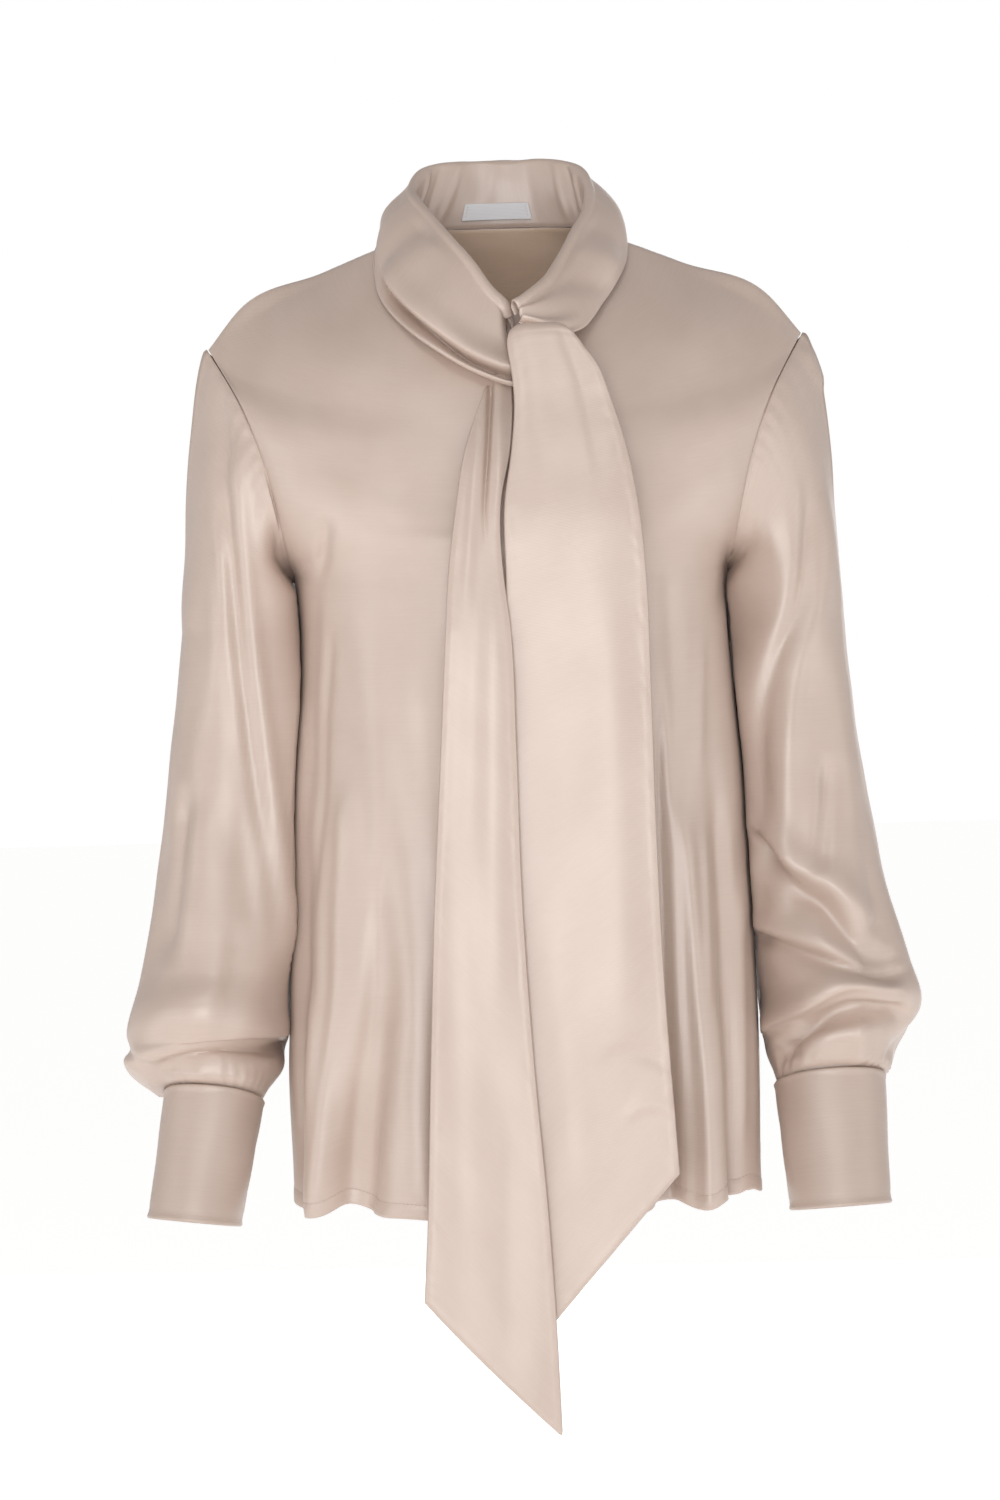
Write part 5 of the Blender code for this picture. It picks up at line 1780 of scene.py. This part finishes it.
LEFT_SLEEVE_CREASES = (
    Crease(Run.DOWN, ((207, -180), (205, -200), (194, -260), (176, -298), (167, -330), (163, -400),
                      (162, -472)), -5.0, 6, 8, (60, 50), Facing.FRONT),
    Crease(Run.DOWN, ((216, -190), (208, -260), (192, -310), (182, -380), (180, -450)), 3.4, 7, 8,
           (60, 50), Facing.FRONT),
    Crease(Run.DOWN, ((211, -370), (207, -404), (201, -440)), -4.2, 4, 7, (26, 26), Facing.FRONT),
    Crease(Run.DOWN, ((222, -300), (228, -380), (238, -460)), 2.4, 8, 9, (60, 60), Facing.FRONT),
    Crease(Run.ACROSS, ((158, -420), (166, -427), (185, -451), (202, -461), (229, -489), (246, -500)),
           -11.0, 11, 6,
           (18, 24), Facing.FRONT),
    Crease(Run.ACROSS, ((158, -404), (185, -432), (206, -444), (234, -470)),
           6.0, 7, 10, (20, 24), Facing.FRONT, 3.0),
    Crease(Run.ACROSS, ((154, -483), (188, -494), (222, -503), (256, -510)),
           -8.5, 8, 3.0, (14, 20), Facing.FRONT),
    Crease(Run.ACROSS, ((154, -472), (188, -482), (222, -491), (250, -497)),
           3.0, 5, 7, (14, 20), Facing.FRONT, 2.0),
    Crease(Run.ACROSS, ((158, -550), (187, -529), (210, -515), (254, -517)),
           8.0, 6, 8, (12, 14), Facing.FRONT, 4.0),
    Crease(Run.ACROSS, ((170, -562), (190, -543), (212, -534), (258, -535)),
           -11.0, 9, 3.4, (10, 12), Facing.FRONT),
    Crease(Run.DOWN, ((228, -536), (226, -556), (224, -574)), 2.6, 5, 5, (14, 14), Facing.FRONT),
    Crease(Run.DOWN, ((205, -80), (211, -92), (216, -106)), 3.0, 4, 5, (12, 14)),
    Crease(Run.ACROSS, ((246, -566), (262, -556), (278, -542)), -4.5, 5, 6, (10, 10)),
    Crease(Run.DOWN, ((204, -130), (210, -240), (220, -380)), -3.4, 8, 8, (60, 80), Facing.BACK),
    Crease(Run.DOWN, ((178, -200), (184, -330), (192, -480)), 3.6, 9, 8, (60, 60), Facing.BACK),
    Crease(Run.ACROSS, ((178, -512), (216, -506), (256, -522)), -5.0, 9, 6, (24, 24), Facing.BACK),
    Crease(Run.ACROSS, ((186, -480), (222, -488), (256, -496)), 4.0, 8, 10, (24, 24), Facing.BACK, 3.0),
    Crease(Run.ACROSS, ((194, -430), (224, -424), (250, -438)), -2.6, 9, 7, (24, 24), Facing.BACK),
)

OVER_TIE_CREASES = (
    Crease(Run.DOWN, ((14, -64), (20, -120), (26, -190)), 0.7, 8, 10, (10, 60)),
    Crease(Run.DOWN, ((38, -70), (50, -110), (60, -170)), -1.0, 5, 8, (12, 60)),
    Crease(Run.DOWN, ((30, -230), (32, -330), (28, -430)), -1.6, 18, 18, (90, 90)),
    Crease(Run.DOWN, ((64, -260), (66, -380), (64, -520)), 1.8, 14, 14, (90, 90)),
    Crease(Run.DOWN, ((20, -480), (26, -560), (30, -640)), 1.4, 12, 14, (70, 60)),
    Crease(Run.ACROSS, ((52, -560), (74, -556), (98, -566)), -0.9, 5, 7, (16, 14)),
    Crease(Run.ACROSS, ((66, -596), (82, -590), (99, -596)), 0.9, 4, 6, (14, 12)),
)

UNDER_TIE_CREASES = (
    Crease(Run.DOWN, ((-10, -100), (-12, -128), (-17, -190)), -5.5, 1.8, 1.8, (6, 60)),
    Crease(Run.DOWN, ((-4, -100), (-6, -140), (-9, -200)), 1.8, 4, 4, (8, 60)),
    Crease(Run.DOWN, ((-15, -106), (-21, -150), (-30, -240)), 1.8, 3.5, 5, (12, 80)),
    Crease(Run.DOWN, ((-22, -200), (-28, -300), (-34, -420)), -1.6, 10, 10, (70, 90)),
    Crease(Run.DOWN, ((-12, -260), (-16, -380), (-18, -520)), 1.6, 9, 10, (90, 90)),
    Crease(Run.DOWN, ((-46, -440), (-44, -560), (-38, -700)), 1.6, 14, 16, (90, 90)),
    Crease(Run.DOWN, ((-10, -600), (-12, -680), (-14, -760)), -1.4, 10, 14, (60, 60)),
)

RIGHT_SLEEVE_RINGS = (
    SleeveRing(-0.265, 0.1465, 0.2285, 0.054, 0.070, 0.00),
    SleeveRing(-0.310, 0.1440, 0.2340, 0.056, 0.068, 0.00),
    SleeveRing(-0.360, 0.1460, 0.2400, 0.060, 0.064, 0.02),
    SleeveRing(-0.410, 0.1500, 0.2475, 0.066, 0.060, 0.05),
    SleeveRing(-0.460, 0.1520, 0.2550, 0.075, 0.055, 0.10),
    SleeveRing(-0.505, 0.1550, 0.2630, 0.086, 0.049, 0.15),
    SleeveRing(-0.537, 0.1600, 0.2720, 0.095, 0.042, 0.20),
    SleeveRing(-0.549, 0.1640, 0.2740, 0.087, 0.036, 0.22),
    SleeveRing(-0.564, 0.1660, 0.2740, 0.090, 0.028, 0.24),
    SleeveRing(-0.577, 0.1760, 0.2560, 0.084, 0.004, 0.26),
)

LEFT_SLEEVE_RINGS = (
    SleeveRing(-0.265, 0.1500, 0.2285, 0.054, 0.070, 0.00),
    SleeveRing(-0.310, 0.1460, 0.2315, 0.056, 0.068, 0.00),
    SleeveRing(-0.360, 0.1500, 0.2365, 0.060, 0.064, 0.02),
    SleeveRing(-0.410, 0.1530, 0.2440, 0.066, 0.060, 0.05),
    SleeveRing(-0.460, 0.1560, 0.2535, 0.075, 0.055, 0.10),
    SleeveRing(-0.505, 0.1600, 0.2660, 0.086, 0.049, 0.15),
    SleeveRing(-0.534, 0.1620, 0.2725, 0.094, 0.042, 0.20),
    SleeveRing(-0.550, 0.1640, 0.2680, 0.087, 0.036, 0.22),
    SleeveRing(-0.564, 0.1650, 0.2560, 0.089, 0.028, 0.24),
    SleeveRing(-0.577, 0.1690, 0.2490, 0.084, 0.004, 0.26),
)

RIGHT_SLEEVE_FOLDS = (
    SleeveFold(-0.120, -0.500, 104, 142, 0.008, 20),
    SleeveFold(-0.150, -0.520, 138, 178, -0.009, 24),
    SleeveFold(-0.180, -0.500, 64, 86, 0.003, 14),
    SleeveFold(-0.380, -0.520, 20, 36, -0.005, 15),
    SleeveFold(-0.240, -0.540, 236, 214, -0.008, 18),
    SleeveFold(-0.330, -0.560, 300, 286, 0.007, 20),
)

LEFT_SLEEVE_FOLDS = (
    SleeveFold(-0.130, -0.330, 62, 150, -0.006, 24),
    SleeveFold(-0.160, -0.480, 96, 118, 0.005, 18),
    SleeveFold(-0.300, -0.520, 140, 176, -0.008, 24),
    SleeveFold(-0.380, -0.540, 36, 60, -0.006, 14),
    SleeveFold(-0.240, -0.540, 232, 212, -0.008, 18),
    SleeveFold(-0.330, -0.560, 298, 284, 0.007, 20),
)

RIGHT_CUFF_SIZE = CuffSize(0.2130, 0.042, -0.5830, 0.2275, 0.064, -0.6650, 0.0320, 0.0298, 0.0365)
LEFT_CUFF_SIZE = CuffSize(0.2070, 0.042, -0.5835, 0.2105, 0.064, -0.6670, 0.0360, 0.0325, 0.0365)

OVER_TIE_ROWS = (
    TieRow(-0.0640, 0.0060, 0.0400, 0.0960),
    TieRow(-0.0665, 0.0035, 0.0440, 0.1060),
    TieRow(-0.0720, 0.0020, 0.0480, 0.1105),
    TieRow(-0.080, 0.0020, 0.0520, 0.1130),
    TieRow(-0.092, 0.0035, 0.0590, 0.1160),
    TieRow(-0.120, 0.0055, 0.069, 0.1230),
    TieRow(-0.150, 0.003, 0.0775, 0.1320),
    TieRow(-0.190, -0.003, 0.0845, 0.1395),
    TieRow(-0.240, -0.0035, 0.0885, 0.1425),
    TieRow(-0.300, -0.007, 0.0895, 0.1420),
    TieRow(-0.400, -0.007, 0.0900, 0.1415),
    TieRow(-0.520, -0.004, 0.0930, 0.1420),
    TieRow(-0.636, 0.002, 0.0990, 0.1430),
    TieRow(-0.740, 0.010, 0.1040, 0.1430),
)

UNDER_TIE_ROWS = (
    TieRow(-0.100, -0.009, 0.003, 0.0965),
    TieRow(-0.112, -0.014, 0.003, 0.1035),
    TieRow(-0.126, -0.020, 0.003, 0.1125),
    TieRow(-0.150, -0.028, 0.001, 0.1250),
    TieRow(-0.190, -0.0355, -0.0065, 0.1365),
    TieRow(-0.237, -0.042, -0.0058, 0.1430),
    TieRow(-0.270, -0.0445, -0.0025, 0.1470),
    TieRow(-0.350, -0.050, -0.001, 0.1480),
    TieRow(-0.450, -0.057, 0.000, 0.1475),
    TieRow(-0.566, -0.063, 0.005, 0.1480),
    TieRow(-0.671, -0.068, 0.012, 0.1485),
    TieRow(-0.728, -0.072, 0.0145, 0.1490),
    TieRow(-0.806, -0.076, 0.0165, 0.1490),
)


def main() -> None:
    logging.basicConfig(level=logging.INFO, format="%(message)s")
    satin = SatinFinish("woven_satin", "#C3AFA3", "#B9A497", 0.38, 0.08, 0.10).make()
    # The inner faces' satin is duller than the face and coloured lighter than it: painted fill light on the
    # shaded inside of the blouse.
    reverse = SatinFinish("woven_satin_reverse_with_painted_fill", "#D6BEA8", "#C8AE97", 0.62, 0.05, 0.30).make()
    cuff_satin = SatinFinish("woven_satin_interfaced", "#BBA79B", "#B19C8F", 0.41, 0.08, 0.12).make()
    tape = TapeFinish("woven_label_tape", "#DEDDE0", 0.75).make()
    thread = TapeFinish("spun_polyester_thread", "#C9B5A6", 0.55, 0.00079).make()

    form = BodyForm()
    front = BodyPanel("front", Panel.FRONT, form, 200, FRONT_CREASES, (0.56, 0.66, 0.26), FRONT_HEM_LIFTS, 1,
                      slit=True)
    back = BodyPanel("back", Panel.BACK, form, 150, BACK_CREASES, (0.50, 0.70, 0.26), BACK_HEM_LIFTS, 2)
    front.build(satin, reverse, thread)
    back.build(satin, reverse, thread)
    surface = np.concatenate([front.surface, back.surface])
    surface_normals = np.concatenate([front.surface_normals, back.surface_normals])

    right_cuff = Cuff("cuff_right", Side.RIGHT, RIGHT_CUFF_SIZE, (0.215, 0.090, 0.0190), 0.12)
    left_cuff = Cuff("cuff_left", Side.LEFT, LEFT_CUFF_SIZE, (0.225, 0.090, 0.0200), 0.05)
    sleeves = (
        Sleeve("sleeve_right", Side.RIGHT, form, right_cuff, RIGHT_SLEEVE_RINGS, RIGHT_SLEEVE_FOLDS,
               RIGHT_SLEEVE_CREASES, 0.032, (0.40, 0.53, 0.165), 21),
        Sleeve("sleeve_left", Side.LEFT, form, left_cuff, LEFT_SLEEVE_RINGS, LEFT_SLEEVE_FOLDS,
               LEFT_SLEEVE_CREASES, 0.048, (0.40, 0.53, 0.165), 31),
    )
    for sleeve in sleeves:
        sleeve.build(satin, reverse, surface, surface_normals)
    for cuff in (right_cuff, left_cuff):
        cuff.build(cuff_satin, cuff_satin)

    band = NeckBand(form, (0.46, 0.120, 0.048))
    band.build(satin, surface, surface_normals)
    ties = (
        TieEnd("tie_over", OVER_TIE_ROWS, (-0.736, -0.636), OVER_TIE_CREASES, (0.105, 0.68, 0.056), 41,
               arch=0.005),
        TieEnd("tie_under", UNDER_TIE_ROWS, (-0.716, -0.806), UNDER_TIE_CREASES, (0.095, 0.71, 0.042), 51),
    )
    for tie in ties:
        tie.build(satin, surface, surface_normals)
    Knot().build(satin)
    NeckLabel(band).build(tape, thread)
    ThreadLoop().build(thread)
    Studio().build()


if __name__ == "__main__":
    main()
